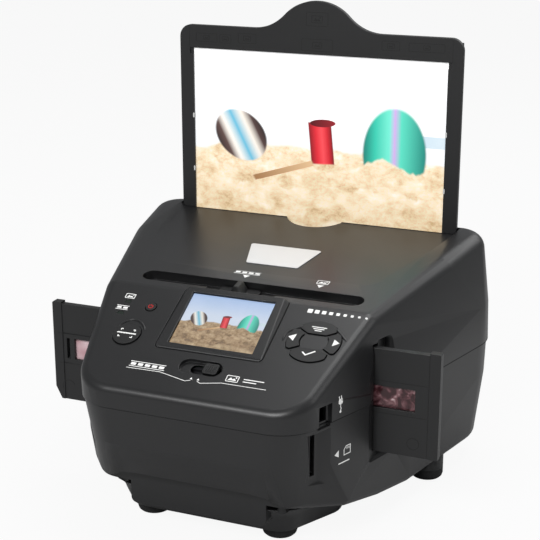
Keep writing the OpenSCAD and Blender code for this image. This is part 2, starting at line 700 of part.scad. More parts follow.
module board_chips() color("#202020") {
    translate([-14, -30, 24 + board_t]) cube([22, 22, 1.6]);
    translate([18, -36, 24 + board_t]) cube([14, 10, 1.2]);
    translate([-38, 2, 24 + board_t]) cube([16, 12, 2]);
    // Legs that stand the board on the floor of the housing
    for (x = [-44, 44], y = [-54, 24]) {
        leg_z = y < 0 ? foot_h + wall + 0.2 : floor_z;
        translate([x, y, leg_z]) cylinder(r = 2.5, h = 24 - leg_z);
    }
}

module side_board() color("#1f5a35") at_ports() translate([-34, -6.4, bed_top]) cube([24, board_t, 50]);

module usb_socket() color("silver") at_ports() difference() {
    translate([-16, -11, seam_z + 2.2]) cube([9.4, 4.6, 7.4]);
    translate([-15, -10.4, seam_z + 2.9]) cube([10, 3.2, 6]);
}

module card_socket() color("silver") at_ports() difference() {
    translate([-34, -11.2, 48]) cube([24, 4.8, 28]);
    translate([-33, -10.6, 49.6]) cube([24, 3.4, 24.8]);
}

module camera_bracket() color("#2e2e30") difference() {
    union() {
        translate([-24, -88, bed_top]) cube([48, 24, 3]);
        translate([-24, -82, bed_top]) cube([48, 3, film_z + camera_half + 1 - bed_top]);
        for (side = [-1, 1]) translate([side * 22.5 - 1.5, -82, bed_top]) cube([3, 18, 22]);
    }
    translate([0, -90, film_z]) rotate([-90, 0, 0]) cylinder(r = 12.2, h = 20);
}

module sensor_board() color("#1f5a35") translate([-camera_half, -82 - board_t, film_z - camera_half]) cube([2 * camera_half, board_t, 2 * camera_half]);

module lens_barrel() color("#161616") translate([0, -82, film_z]) rotate([-90, 0, 0]) difference() {
    union() {
        cylinder(r = 12, h = 8);
        cylinder(r = 8.5, h = 19);
    }
    translate([0, 0, 2]) cylinder(r = 6.5, h = 20);
}

module lens_glass() color("#90a8c0") translate([0, -82 + 15, film_z]) rotate([-90, 0, 0]) cylinder(r = 6.5, h = 2.5);

module film_guide() color("#232326") difference() {
    height = holder_h + 2 * holder_gap + 2 * guide_wall;   // the open top lets the higher end bars pass
    translate([-guide_len / 2, guide_front_y, film_z - height / 2]) cube([guide_len, guide_back_y - guide_front_y, height]);
    translate([-guide_len, film_y - guide_half, film_z - holder_h / 2 - holder_gap])
        cube([2 * guide_len, 2 * guide_half, holder_h + 2 * holder_gap + bar_rise]);
    translate([-19, guide_front_y - 1, film_z - 13]) cube([38, guide_back_y - guide_front_y + 2, 26]);
}

module rod_bracket(side) color("#2e2e30") difference() {
    translate([side * rod_end_x - 2.5, rod_y - 7, bed_top]) cube([5, 14, rod_high_z + 6 - bed_top]);
    for (z = [rod_low_z, rod_high_z]) translate([side * rod_end_x - 5, rod_y, z]) rotate([0, 90, 0])
        cylinder(r = rod_r, h = 10);
}

module guide_rods() color("silver") for (z = [rod_low_z, rod_high_z]) translate([-rod_end_x - 2.5, rod_y, z])
    rotate([0, 90, 0]) cylinder(r = rod_r, h = 2 * rod_end_x + 5);

module backlight_carriage() color("#2a2a2c") difference() {
    union() {
        translate([lever_x - carriage_w / 2, carriage_front_y, film_z - 19]) cube([carriage_w, 6, 38]);
        translate([lever_x - carriage_w / 2, rod_y - 4, rod_low_z - 4]) cube([carriage_w, 8, 8]);
        translate([lever_x - carriage_w / 2, rod_y - 4, rod_high_z - 4]) cube([carriage_w, 8, 8]);
        for (side = [-1, 1]) translate([lever_x + side * 17 - 3, carriage_front_y, rod_low_z - 2]) cube([6, 9, rod_high_z - rod_low_z + 4]);
    }
    for (z = [rod_low_z, rod_high_z]) translate([lever_x - carriage_w, rod_y, z]) rotate([0, 90, 0])
        cylinder(r = rod_r + rod_gap, h = 2 * carriage_w);
    // Recess for the lamp
    translate([lever_x - 16, carriage_front_y - 1, film_z - 13]) cube([32, 5, 26]);
}

module backlight_board() color("#e8e8e0") translate([lever_x - 16, carriage_front_y + 2.4, film_z - 13]) cube([32, 1.6, 26]);

module backlight_diffuser() color("#f4f4f0") translate([lever_x - 15.8, carriage_front_y, film_z - 12.8]) cube([31.6, 2.4, 25.6]);

// Lever: a foot on the carriage, a stem through the groove and a ridge for the finger
module selector_lever() color("#1d1d1d") {
    top = crest[1] + (rod_y - crest[0]) * tan(top_tilt);
    translate([lever_x - 2, rod_y - 2, rod_high_z + 4]) cube([4, 4, top - rod_high_z - 4 - groove_depth + 2]);
    on_top(lever_x, rod_y, -groove_depth + touch) {
        rounded_plate([26, groove_w - 2 * touch - 0.8, 1.6], 3);
        translate([0, 0, 1.5]) hull() {
            rounded_plate([9, groove_w - 2.4, 0.5], 1.5);
            translate([0, 0.5, groove_depth - 1]) rounded_plate([3, groove_w - 4, 0.5], 1);
        }
    }
}

lamp_x = 78;

module lamp_brackets() color("#2e2e30") both_sides() translate([lamp_x - 6, 2, bed_top]) difference() {
    cube([10, 9, 76]);
    translate([-1, -1, 12]) cube([10, 8, 70]);
}

module lamp_strips() color("#f0eedc") both_sides() translate([lamp_x - 4, 2 + 7 - 2, bed_top + 14]) {
    cube([6, 1.2 + 0.8, 58]);
    for (i = [0 : 7]) translate([1.5, -1.2, 3 + 7 * i]) cube([3, 1.3, 3]);
}

// Channel for one edge of the tray: its front flange stands on the floor, the rest clears the corner
module tray_guide(side) color("#232326") mirror([side < 0 ? 1 : 0, 0, 0]) {
    edge = tray_w / 2 + tray_gap;
    front = tray_y - tray_gap;
    depth = tray_t + 2 * tray_gap;
    top = top_z - 15;
    translate([edge - 9, front - 3, floor_z]) cube([10.6, 3, top - floor_z]);
    translate([edge, front - 0.1, guide_clear_z]) cube([1.6, depth + 1.4, top - guide_clear_z]);
    translate([edge - 6, front + depth, guide_clear_z]) cube([7.6, 1.3, top - guide_clear_z]);
}

// ---------- photo tray ----------

module tray_outline() {
    r = 8;
    hull() {
        for (side = [-1, 1]) translate([side * (tray_w / 2 - r), tray_top_z - r]) circle(r);
        for (side = [-1, 1]) translate([side * (tray_w / 2 - 3), tray_foot_z + 3]) circle(3);
    }
    // Arched handle: a crown that runs out in hollow curves at both ends
    difference() {
        translate([-arch_w / 2, tray_top_z - 2]) square([arch_w, arch_h + 2]);
        for (side = [-1, 1]) translate([side * arch_w / 2, tray_top_z + arch_foot_r]) circle(arch_foot_r, $fn = 128);
        difference() {
            translate([-arch_w / 2, arch_join_z]) square([arch_w, arch_h]);
            translate([0, tray_top_z + arch_h - arch_crown_r]) circle(arch_crown_r, $fn = 128);
        }
    }
}

module tray_frame() color("#2c2d2f") difference() {
    translate([0, tray_y + tray_t - 1.5, 0]) rotate([90, 0, 0]) linear_extrude(tray_t - 1.5) tray_outline();
    // Opening, a step wider near its top
    translate([-opening_w / 2, tray_y - 1, opening_top_z - opening_h]) cube([opening_w, tray_t + 2, opening_h]);
    translate([-opening_w / 2 - 2.4, tray_y - 1, opening_top_z - 4]) cube([opening_w + 4.8, 2.2, 4]);
    // Rebate for the print
    translate([-print_w / 2 - 0.3, tray_y + 1.6, opening_top_z - opening_h - print_lip - 0.3])
        cube([print_w + 0.6, tray_t, print_h + 0.6]);
}

module tray_back() color("#242527") {
    translate([-tray_w / 2 + 1, tray_y + tray_t - 1.5, tray_foot_z + 1]) cube([tray_w - 2, 1.5, tray_top_z - tray_foot_z - 4]);
    translate([-print_w / 2, tray_y + 2, opening_top_z - opening_h - print_lip]) cube([print_w, tray_t - 3.5, print_h]);
}

module photo_print() color("#d9c39c") translate([-print_w / 2, tray_y + 1.65, opening_top_z - opening_h - print_lip])
    cube([print_w, 0.33, print_h]);

// ---------- film holder ----------

half_t = holder_t / 2;

// One half of the clamshell, as a flat plate with its windows
module holder_half(y, t) difference() {
    translate([0, y + t, 0]) rotate([90, 0, 0]) linear_extrude(t) polygon([
        [-holder_len / 2, film_z + holder_h / 2], [holder_len / 2, film_z + holder_h / 2], [holder_len / 2, film_z - holder_h / 2],
        [4 - holder_len / 2, film_z - holder_h / 2], [-holder_len / 2, film_z - holder_h / 2 + 8]]);
    // Narrow slot beside the left bar
    translate([bar_len + 2.5 - holder_len / 2, y - 1, film_z - window_h / 2 + 2.6]) cube([2, t + 2, window_h]);
    for (i = [0 : frames - 1]) translate([(i - (frames - 1) / 2) * frame_pitch - window_len / 2, y - 1, film_z - window_h / 2 + 2.6])
        cube([window_len, t + 2, window_h]);
}

// End bar of one half: thicker and taller than the plate, with the lower left corner cut off as a key
module end_bar(side, y) translate([0, y + bar_t / 2, 0]) rotate([90, 0, 0]) linear_extrude(bar_t / 2) {
    outer = side * holder_len / 2;
    inner = outer - side * bar_len;
    low = film_z - holder_h / 2;
    high = film_z + holder_h / 2 + bar_rise;
    cut = side < 0 ? [4, 8] : [0.8, 0.8];
    polygon([[inner, low], [outer - side * cut[0], low], [outer, low + cut[1]], [outer, high - 0.8],
        [outer - side * 0.8, high], [inner, high]]);
}

module holder_base() color("#212224") translate([holder_x, 0, 0]) {
    difference() {
        holder_half(film_y, half_t);
        // Bed for the film strip
        translate([-film_len / 2 - 0.2, film_y - 1, film_z + 2.6 - film_h / 2]) cube([film_len + 0.4, 1.4, film_h]);
        pin_holes();
    }
    for (side = [-1, 1]) end_bar(side, film_y);
}

module holder_cover() color("#242527") translate([holder_x, 0, 0]) {
    difference() {
        holder_half(film_y - half_t, half_t);
        pin_holes();
    }
    for (side = [-1, 1]) end_bar(side, film_y - bar_t / 2);
}

module pin_holes() for (x = [-95, 95]) translate([x - 6, film_y, film_z - holder_h / 2 + 3]) rotate([0, 90, 0])
    cylinder(r = 1.02, h = 12);

module holder_pins() color("silver") for (x = [-95, 95]) translate([holder_x + x - 5.9, film_y, film_z - holder_h / 2 + 3])
    rotate([0, 90, 0]) cylinder(r = 1, h = 11.8);

module film_strip() color("#6a3a40") translate([holder_x - film_len / 2, film_y + 0.05, film_z + 2.6 - film_h / 2 + 0.1])
    cube([film_len, 0.3, film_h - 0.2]);

// ---------- nodes ----------

upper_housing();
lower_housing();
case_screws();
foot_at(0);  // foot_front_left
foot_at(1);  // foot_front_right
foot_at(2);  // foot_back_left
foot_at(3);  // foot_back_right
blank_badge();
screen_frame();
screen_glass();
screen_module();
status_lights();
key_board();
key_switches();
mode_switch_case();
optical_bed();
bed_screws();
main_board();
board_chips();
side_board();
usb_socket();
card_socket();
camera_bracket();
sensor_board();
lens_barrel();
lens_glass();
film_guide();
rod_bracket(-1);  // rod_bracket_left
rod_bracket(1);  // rod_bracket_right
guide_rods();
lamp_brackets();
lamp_strips();
tray_guide(-1);  // tray_guide_left
tray_guide(1);  // tray_guide_right
backlight_carriage();
backlight_board();
backlight_diffuser();
selector_lever();
tray_frame();
tray_back();
photo_print();
holder_base();
holder_cover();
holder_pins();
film_strip();
mode_slider();
scan_button();
power_button();
mode_button();
enter_button();
left_button();
right_button();
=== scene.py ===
# %% [markdown]
# Film and photo scanner: the looks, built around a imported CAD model.
# The CAD model brings every piece at its real size. This script copies the pieces that show, rounds their
# edges, adds the fine relief and the printed marks, and gives every surface a finish made of shader nodes.
# All lengths are written in millimetres and turned to metres once, where a mesh is made.

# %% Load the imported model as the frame
import json
import math

import bmesh
import bpy
from mathutils import Matrix, Vector
from mathutils.bvhtree import BVHTree


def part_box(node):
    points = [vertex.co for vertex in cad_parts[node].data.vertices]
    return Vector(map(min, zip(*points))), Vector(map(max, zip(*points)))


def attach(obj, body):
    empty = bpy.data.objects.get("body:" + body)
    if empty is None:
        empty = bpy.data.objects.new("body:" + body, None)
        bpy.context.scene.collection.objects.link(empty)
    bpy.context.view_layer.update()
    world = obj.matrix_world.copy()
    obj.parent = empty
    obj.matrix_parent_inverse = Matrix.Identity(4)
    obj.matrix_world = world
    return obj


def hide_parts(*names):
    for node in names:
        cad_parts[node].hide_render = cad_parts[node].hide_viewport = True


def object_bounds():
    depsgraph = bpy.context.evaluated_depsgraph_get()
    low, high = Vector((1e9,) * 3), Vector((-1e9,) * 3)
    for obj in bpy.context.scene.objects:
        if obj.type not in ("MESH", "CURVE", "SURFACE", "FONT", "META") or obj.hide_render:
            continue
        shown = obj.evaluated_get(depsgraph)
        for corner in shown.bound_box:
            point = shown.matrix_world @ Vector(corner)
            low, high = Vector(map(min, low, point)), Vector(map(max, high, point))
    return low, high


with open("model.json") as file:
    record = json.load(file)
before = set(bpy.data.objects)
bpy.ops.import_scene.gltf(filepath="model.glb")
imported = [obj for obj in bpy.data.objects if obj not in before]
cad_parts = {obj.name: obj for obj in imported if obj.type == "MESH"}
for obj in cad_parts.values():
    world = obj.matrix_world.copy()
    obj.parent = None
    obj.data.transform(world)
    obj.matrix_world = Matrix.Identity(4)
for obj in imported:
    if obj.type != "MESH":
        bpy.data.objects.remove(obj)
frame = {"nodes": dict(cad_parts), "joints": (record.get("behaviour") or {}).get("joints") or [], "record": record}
cad_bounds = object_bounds()
MM = 0.001

# %% [markdown]
# The scanner is made of flat faces that lean: the sloped panel, the top behind it and the side walls.
# A matrix for each of these faces lets a mark or a rim be drawn flat, in that face's own millimetres.
# The key joints run square to the panel, so their axis gives the panel's tilt.

# %% Places on the body
joints = {j["name"]: j for j in frame["joints"]}
press_axis = joints["scan_press"]["axis"]
PANEL_TILT = math.atan2(press_axis[1], -press_axis[2])
PANEL_FRONT = Vector((0, -110.0, 92.0))      # middle of the panel's front edge
PANEL_DEPTH = 74.0
TOP_TILT = math.atan2(12.8, 81.0)            # rise and run of the top behind the panel
SCREEN_TILT = math.radians(2.3)              # how much further the screen leans than the panel
SCREEN_FOOT = 35.3                           # lower edge of the screen's frame, up the panel


def turned(point, tilt):
    """A face through point that rises by tilt towards the back: x stays, y runs up the face, z out of it."""
    return Matrix.Translation(Vector(point) * MM) @ Matrix.Rotation(tilt, 4, "X")


def shifted(face, x, y, z=0.0):
    """The same face with its origin moved, in its own millimetres."""
    return face @ Matrix.Translation(Vector((x, y, z)) * MM)


PANEL = turned(PANEL_FRONT, PANEL_TILT)
CREST = Vector((0, PANEL_FRONT.y + PANEL_DEPTH, PANEL_FRONT.z + PANEL_DEPTH * math.tan(PANEL_TILT)))
TOP = turned(CREST, TOP_TILT)
SCREEN = shifted(PANEL, 0, SCREEN_FOOT, 0.6) @ Matrix.Rotation(SCREEN_TILT, 4, "X")
# Right wall beside the ports: x runs along the wall to the back, y is height, z points out of the wall
PORTS = (Matrix.Translation(Vector((77.3, -81.5, 0)) * MM) @ Matrix.Rotation(math.radians(-22.2), 4, "Z")
         @ Matrix(((0, 0, 1, 0), (1, 0, 0, 0), (0, 1, 0, 0), (0, 0, 0, 1))))


def front_face(y):
    """An upright face that looks to the front at y: x stays, y is height."""
    return Matrix.Translation(Vector((0, y, 0)) * MM) @ Matrix.Rotation(math.radians(90), 4, "X")


def box_mm(node):
    """Lowest and highest corner of a CAD node's box, in millimetres."""
    low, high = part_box(node)
    return Vector(low) / MM, Vector(high) / MM


print("panel tilt:", round(math.degrees(PANEL_TILT), 2), "crest:", [round(v, 1) for v in CREST])

# %% [markdown]
# Shader nodes are added by one small function. Colours are written as sRGB hex values, as a paint chip
# gives them, and turned to the linear values that the shader works with.

# %% Colour and node helpers


def colour(text):
    """Linear RGBA of an sRGB hex value."""
    parts = [int(text[i:i + 2], 16) / 255 for i in (1, 3, 5)]
    return [p / 12.92 if p <= 0.04045 else ((p + 0.055) / 1.055) ** 2.4 for p in parts] + [1.0]


def add(tree, kind, values=None, links=None, stops=None, **settings):
    """One node: settings are its properties, values its unlinked inputs, links what runs into its inputs.
    A colour ramp also takes stops, each (position, sRGB hex)."""
    made = tree.nodes.new(kind)
    for name, value in settings.items():
        setattr(made, name, value)
    for key, value in (values or {}).items():
        made.inputs[key].default_value = value
    for key, source in (links or {}).items():
        tree.links.new(source, made.inputs[key])
    for i, (position, text) in enumerate(stops or ()):
        stop = made.color_ramp.elements[i] if i < 2 else made.color_ramp.elements.new(position)
        stop.position = position
        stop.color = colour(text)
    return made


def blank_material(name):
    """A material with an empty node tree and its output."""
    material = bpy.data.materials.new(name)
    material.use_nodes = True
    tree = material.node_tree
    tree.nodes.clear()
    return material, tree, add(tree, "ShaderNodeOutputMaterial")


# %% [markdown]
# The photo was taken from the right, a little above, with a long lens. The camera repeats that view: its
# place and direction were worked out from the straight edges of the tray and the panel.

# %% Camera
CAMERA_PLACE = Vector((301.7, -721.3, 380.2))
CAMERA_DIRECTION = Vector((-0.3616, 0.8827, -0.3000))
lens = bpy.data.cameras.new("camera")
lens.sensor_width = 36.0
lens.lens = 90.33
lens.clip_start = 0.05
camera = bpy.data.objects.new("camera", lens)
bpy.context.scene.collection.objects.link(camera)
camera.location = CAMERA_PLACE * MM
camera.rotation_euler = CAMERA_DIRECTION.to_track_quat("-Z", "Y").to_euler()
bpy.context.scene.camera = camera
print("camera:", [round(v, 3) for v in camera.location])

# %% [markdown]
# A product studio is a white sweep with large soft lamps. Large lamps give the black plastic broad, soft
# highlights along its rounded edges. The floor looks white to the camera and still takes the shadow.

# %% Studio


def soft_lamp(name, place, target, width, height, power):
    light = bpy.data.lights.new(name, "AREA")
    light.shape = "RECTANGLE"
    light.size = width * MM
    light.size_y = height * MM
    light.energy = power
    lamp = bpy.data.objects.new(name, light)
    bpy.context.scene.collection.objects.link(lamp)
    lamp.location = Vector(place) * MM
    lamp.rotation_euler = (Vector(target) - Vector(place)).to_track_quat("-Z", "Y").to_euler()
    return lamp


soft_lamp("lamp_above", (140, 330, 1300), (0, 0, 100), 900, 700, 8)
soft_lamp("lamp_front_left", (-150, -1150, 950), (0, 0, 90), 800, 260, 13)
soft_lamp("lamp_right", (1250, 100, 900), (0, 0, 90), 500, 900, 2.5)
soft_lamp("lamp_back", (600, 1100, 900), (0, 0, 100), 1000, 500, 3.5)

world = bpy.data.worlds.new("studio")
bpy.context.scene.world = world
world.use_nodes = True
sky = world.node_tree
sky.nodes.clear()
rays = add(sky, "ShaderNodeLightPath")
seen = add(sky, "ShaderNodeMath", operation="MAXIMUM",
           links={0: rays.outputs["Is Camera Ray"], 1: rays.outputs["Is Transmission Ray"]})
room = add(sky, "ShaderNodeBackground", {"Color": colour("#f4f6f8"), "Strength": 0.36})
sweep = add(sky, "ShaderNodeBackground", {"Color": (1, 1, 1, 1), "Strength": 1.0})
choice = add(sky, "ShaderNodeMixShader", links={0: seen.outputs[0], 1: room.outputs[0], 2: sweep.outputs[0]})
add(sky, "ShaderNodeOutputWorld", links={"Surface": choice.outputs[0]})

floor_material, tree, out = blank_material("studio_floor_white")
rays = add(tree, "ShaderNodeLightPath")
paint = add(tree, "ShaderNodeBsdfDiffuse", {"Color": colour("#c8c8c8")})
glow = add(tree, "ShaderNodeEmission", {"Color": (1, 1, 1, 1), "Strength": 1.0})
share = add(tree, "ShaderNodeMath", {1: 0.92}, {0: rays.outputs["Is Camera Ray"]}, operation="MULTIPLY")
mixed = add(tree, "ShaderNodeMixShader", links={0: share.outputs[0], 1: paint.outputs[0], 2: glow.outputs[0]})
tree.links.new(mixed.outputs[0], out.inputs["Surface"])
sheet_mesh = bpy.data.meshes.new("studio_floor")
FLOOR_REACH = 12.0                           # metres from the middle to each side of the floor sheet
corners = [(x * FLOOR_REACH, y * FLOOR_REACH, 0) for x, y in ((-1, -1), (1, -1), (1, 1), (-1, 1))]
sheet_mesh.from_pydata(corners, [], [(0, 1, 2, 3)])
sheet_mesh.materials.append(floor_material)
floor = bpy.data.objects.new("studio_floor", sheet_mesh)
bpy.context.scene.collection.objects.link(floor)
bpy.context.scene.view_settings.view_transform = "Standard"

# %% [markdown]
# The housings, the holder and the tray are ABS from steel moulds. The mould's spark-eroded skin leaves a fine
# grain, which breaks highlights up into a soft sheen. The real grain is about 0.1 mm, too fine for the
# picture, so it is drawn at a few tenths of a millimetre. A slow change of tone and gloss keeps wide faces
# alive. The Bevel node bends the normals near sharp edges, as the small radius of a real mould does, so that
# the edges of the big shells catch a thin line of light.

# %% Moulded plastic


def moulded_plastic(name, tone, rough, grain_mm=0.35, grain_depth_mm=0.012, tone_change=0.05, edge_mm=0.5):
    """Moulded plastic or rubber: a grain of grain_mm, a slow change of tone, edges rounded by edge_mm."""
    material, tree, out = blank_material(name)
    place = add(tree, "ShaderNodeTexCoord").outputs["Object"]
    grain = add(tree, "ShaderNodeTexNoise", {"Scale": 1 / (grain_mm * MM), "Detail": 2.0, "Roughness": 0.6},
                {"Vector": place})
    cloud = add(tree, "ShaderNodeTexNoise", {"Scale": 1 / (45 * MM), "Detail": 3.0}, {"Vector": place})
    base = colour(tone)
    shade = add(tree, "ShaderNodeMapRange", {"To Min": 1 - tone_change, "To Max": 1 + tone_change},
                {"Value": cloud.outputs["Fac"]})
    hue = add(tree, "ShaderNodeVectorMath", {0: base[:3]}, {"Scale": shade.outputs[0]}, operation="SCALE")
    gloss = add(tree, "ShaderNodeMapRange", {"To Min": rough - 0.05, "To Max": rough + 0.05},
                {"Value": cloud.outputs["Fac"]})
    edge = add(tree, "ShaderNodeBevel", {"Radius": edge_mm * MM}, samples=4)
    relief = add(tree, "ShaderNodeBump", {"Strength": 1.0, "Distance": grain_depth_mm * MM},
                 {"Height": grain.outputs["Fac"], "Normal": edge.outputs[0]})
    skin = add(tree, "ShaderNodeBsdfPrincipled", {"IOR": 1.52},
               {"Base Color": hue.outputs[0], "Roughness": gloss.outputs[0],
                "Normal": relief.outputs["Normal"]})
    tree.links.new(skin.outputs[0], out.inputs["Surface"])
    return material


housing_abs = moulded_plastic("black_abs_fine_spark_grain", "#171718", 0.36)
lower_abs = moulded_plastic("black_abs_lower_shell", "#151516", 0.4)
tray_abs = moulded_plastic("black_abs_tray", "#121213", 0.46, edge_mm=0.35)
holder_abs = moulded_plastic("black_abs_film_holder", "#101011", 0.46, edge_mm=0.35)
key_abs = moulded_plastic("black_abs_keys_polished_mould", "#060607", 0.5, grain_depth_mm=0.004, edge_mm=0.35)
inner_abs = moulded_plastic("dark_abs_inside", "#101011", 0.6)
foot_rubber = moulded_plastic("black_rubber_feet", "#0c0c0c", 0.7, grain_mm=0.6, grain_depth_mm=0.02)
print("moulded plastics:", len([m for m in bpy.data.materials if "black" in m.name]))

# %% [markdown]
# The white marks are pad-printed: a soft pad lays down ink about 0.01 mm thick, and it looks matt. Both
# inks also get a faint painted glow, so that they read bright. The badge is a moulded white plate. Metal
# shields are pressed from tinned steel, and rods are ground steel.

# %% Ink, badge, metals, boards and lamps


def plain_finish(name, tone, rough, metallic=0.0, grain_mm=0.3, grain_depth_mm=0.004, stretch=(1, 1, 1),
                 tone_change=0.06,
                 ior=1.5, glow=0.0):
    """Any other solid finish, with a fine relief that stretch draws out along an axis, as grinding does."""
    material, tree, out = blank_material(name)
    place = add(tree, "ShaderNodeTexCoord").outputs["Object"]
    along = add(tree, "ShaderNodeMapping", {"Scale": stretch}, {"Vector": place})
    grain = add(tree, "ShaderNodeTexNoise", {"Scale": 1 / (grain_mm * MM), "Detail": 2.0},
                {"Vector": along.outputs[0]})
    base = colour(tone)
    shade = add(tree, "ShaderNodeMapRange", {"To Min": 1 - tone_change, "To Max": 1 + tone_change},
                {"Value": grain.outputs["Fac"]})
    hue = add(tree, "ShaderNodeVectorMath", {0: base[:3]}, {"Scale": shade.outputs[0]}, operation="SCALE")
    relief = add(tree, "ShaderNodeBump", {"Distance": grain_depth_mm * MM}, {"Height": grain.outputs["Fac"]})
    settings = {"Roughness": rough, "Metallic": metallic, "Emission Strength": glow, "Emission Color": base}
    if not metallic:
        settings["IOR"] = ior
    skin = add(tree, "ShaderNodeBsdfPrincipled", settings,
               {"Base Color": hue.outputs[0], "Normal": relief.outputs["Normal"]})
    tree.links.new(skin.outputs[0], out.inputs["Surface"])
    return material


# Both inks carry a faint painted glow, so that the marks stay bright.
white_ink = plain_finish("white_pad_printed_ink", "#e2e2e0", 0.6, glow=0.15)
red_ink = plain_finish("red_pad_printed_ink", "#b01818", 0.5, glow=0.15)
# The relief lines are painted near-black: painted shade that makes the low relief show.
relief_shade_paint = plain_finish("moulded_relief_painted_shade", "#050505", 0.6)
# A near-black finish painted as the shadow in the gap between the shells.
gap_shadow_paint = plain_finish("painted_gap_shadow", "#050505", 0.9)
tab_white = plain_finish("white_plastic_tabs", "#cfcfcd", 0.4)
badge_gloss = plain_finish("white_moulded_badge", "#d6d6d6", 0.28, tone_change=0.015)
tinned_steel = plain_finish("pressed_tinned_steel", "#b9bbbd", 0.3, metallic=1.0, grain_mm=0.8,
                            grain_depth_mm=0.003)
ground_steel = plain_finish("ground_steel_rods", "#c4c5c7", 0.18, metallic=1.0, stretch=(0.05, 1, 1))
zinc_screw = plain_finish("zinc_plated_screws", "#c0c4c6", 0.28, metallic=1.0)
chip_epoxy = plain_finish("black_epoxy_chip_bodies", "#17171a", 0.55)
anodised_black = plain_finish("black_anodised_lens_barrel", "#111112", 0.4, grain_mm=0.2)
lamp_white = plain_finish("frosted_white_diffuser", "#f0f0ea", 0.5, glow=0.05)
lens_green = plain_finish("dark_green_lamp_lens", "#1c241e", 0.15)
screen_metal = plain_finish("brushed_screen_can", "#8d9196", 0.35, metallic=1.0, stretch=(0.08, 1, 1))

board_green, tree, out = blank_material("solder_masked_circuit_board")
place = add(tree, "ShaderNodeTexCoord").outputs["Object"]
tracks = add(tree, "ShaderNodeTexBrick", {"Scale": 1 / (4 * MM), "Color1": colour("#1a4a2c"),
                                          "Color2": colour("#1f5634"),
             "Mortar": colour("#2f7345"), "Mortar Size": 0.06}, {"Vector": place})
mask = add(tree, "ShaderNodeBsdfPrincipled", {"Roughness": 0.35, "IOR": 1.55},
           {"Base Color": tracks.outputs["Color"]})
tree.links.new(mask.outputs[0], out.inputs["Surface"])

coated_glass, tree, out = blank_material("coated_lens_glass")
place = add(tree, "ShaderNodeTexCoord").outputs["Object"]
haze = add(tree, "ShaderNodeTexNoise", {"Scale": 1 / (2 * MM)}, {"Vector": place})
wipe = add(tree, "ShaderNodeMapRange", {"To Min": 0.02, "To Max": 0.06}, {"Value": haze.outputs["Fac"]})
glass = add(tree, "ShaderNodeBsdfPrincipled",
            {"Base Color": colour("#dfe4f0"), "IOR": 1.6, "Transmission Weight": 1.0},
            {"Roughness": wipe.outputs[0]})
tree.links.new(glass.outputs[0], out.inputs["Surface"])
print("materials so far:", len(bpy.data.materials))

# %% [markdown]
# The CAD pieces come as loose triangles. A copy of each is merged and cleaned, its real edges stay sharp, and
# everything between them is shaded as one smooth face. The copy then stands for its CAD node. Small pieces
# also get a Bevel modifier, which cuts a real radius along their edges.

# %% Copies of the CAD pieces
BODY_OF = {n: b for b, members in frame["record"]["behaviour"]["bodies"].items() for n in members}


def shaded(obj, crease_deg=32):
    """Smooth shading between sharp edges, with normals weighted towards the large faces."""
    obj.data.shade_smooth()
    obj.data.set_sharp_from_angle(angle=math.radians(crease_deg))
    weights = obj.modifiers.new("weighted_normals", "WEIGHTED_NORMAL")
    weights.keep_sharp = True
    weights.weight = 80
    return obj


def put(name, mesh, body, material, stands_for=()):
    """A finished mesh as a piece of the object: it rides on body and stands for CAD nodes."""
    obj = bpy.data.objects.new(name, mesh)
    bpy.context.scene.collection.objects.link(obj)
    mesh.materials.clear()
    mesh.materials.append(material)
    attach(obj, body)
    if stands_for:
        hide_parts(*stands_for)
    return obj


def merged(node):
    """A merged copy of a CAD node's mesh."""
    shape = bmesh.new()
    shape.from_mesh(frame["nodes"][node].data)
    bmesh.ops.remove_doubles(shape, verts=shape.verts, dist=0.002 * MM)
    bmesh.ops.dissolve_limit(shape, angle_limit=math.radians(0.2), verts=shape.verts, edges=shape.edges)
    mesh = bpy.data.meshes.new(node + "_skin")
    shape.to_mesh(mesh)
    shape.free()
    return mesh


def dressed(node, material, crease_deg=32, edge_mm=0.0):
    """A CAD node's merged copy in its finish, with its sharp edges rounded by edge_mm."""
    obj = put(node + "_skin", merged(node), BODY_OF[node], material, (node,))
    if edge_mm:
        edge = obj.modifiers.new("edges", "BEVEL")
        edge.width = edge_mm * MM
        edge.segments = 3
        edge.limit_method = "ANGLE"
        edge.angle_limit = math.radians(crease_deg)
    return shaded(obj, crease_deg)


dressed("upper_housing", housing_abs, crease_deg=19)
dressed("lower_housing", lower_abs, crease_deg=24)
for node in ("tray_frame", "tray_back"):
    dressed(node, tray_abs, edge_mm=0.4)
for node in ("holder_base", "holder_cover"):
    dressed(node, holder_abs, edge_mm=0.3)
dressed("screen_frame", housing_abs, edge_mm=0.5)
dressed("blank_badge", badge_gloss, edge_mm=0.15)
dressed("selector_lever", key_abs, edge_mm=0.5)
for node in ("scan_button", "power_button", "mode_button", "enter_button", "left_button", "right_button"):
    dressed(node, key_abs, edge_mm=0.45)
for node in ("foot_front_left", "foot_front_right", "foot_back_left", "foot_back_right"):
    dressed(node, foot_rubber, crease_deg=40, edge_mm=0.4)

# %% [markdown]
# The two shells meet in a parting line round the body, which shows in the photo as a thin dark line. A band of
# near-black, half a millimetre high, follows the upper shell's lower rim. It stands for the shadow in the gap.

# %% Parting line


RIM_LOW, RIM_HIGH = 78, 81.5                 # the upper shell's lower rim lies between these heights
RIM_FRONT = -60                              # in front of this y the shells' own step shows
BAND_HEIGHT, BAND_DROP, BAND_OUT, BAND_SINK = 0.55, -0.25, 0.03, -0.2


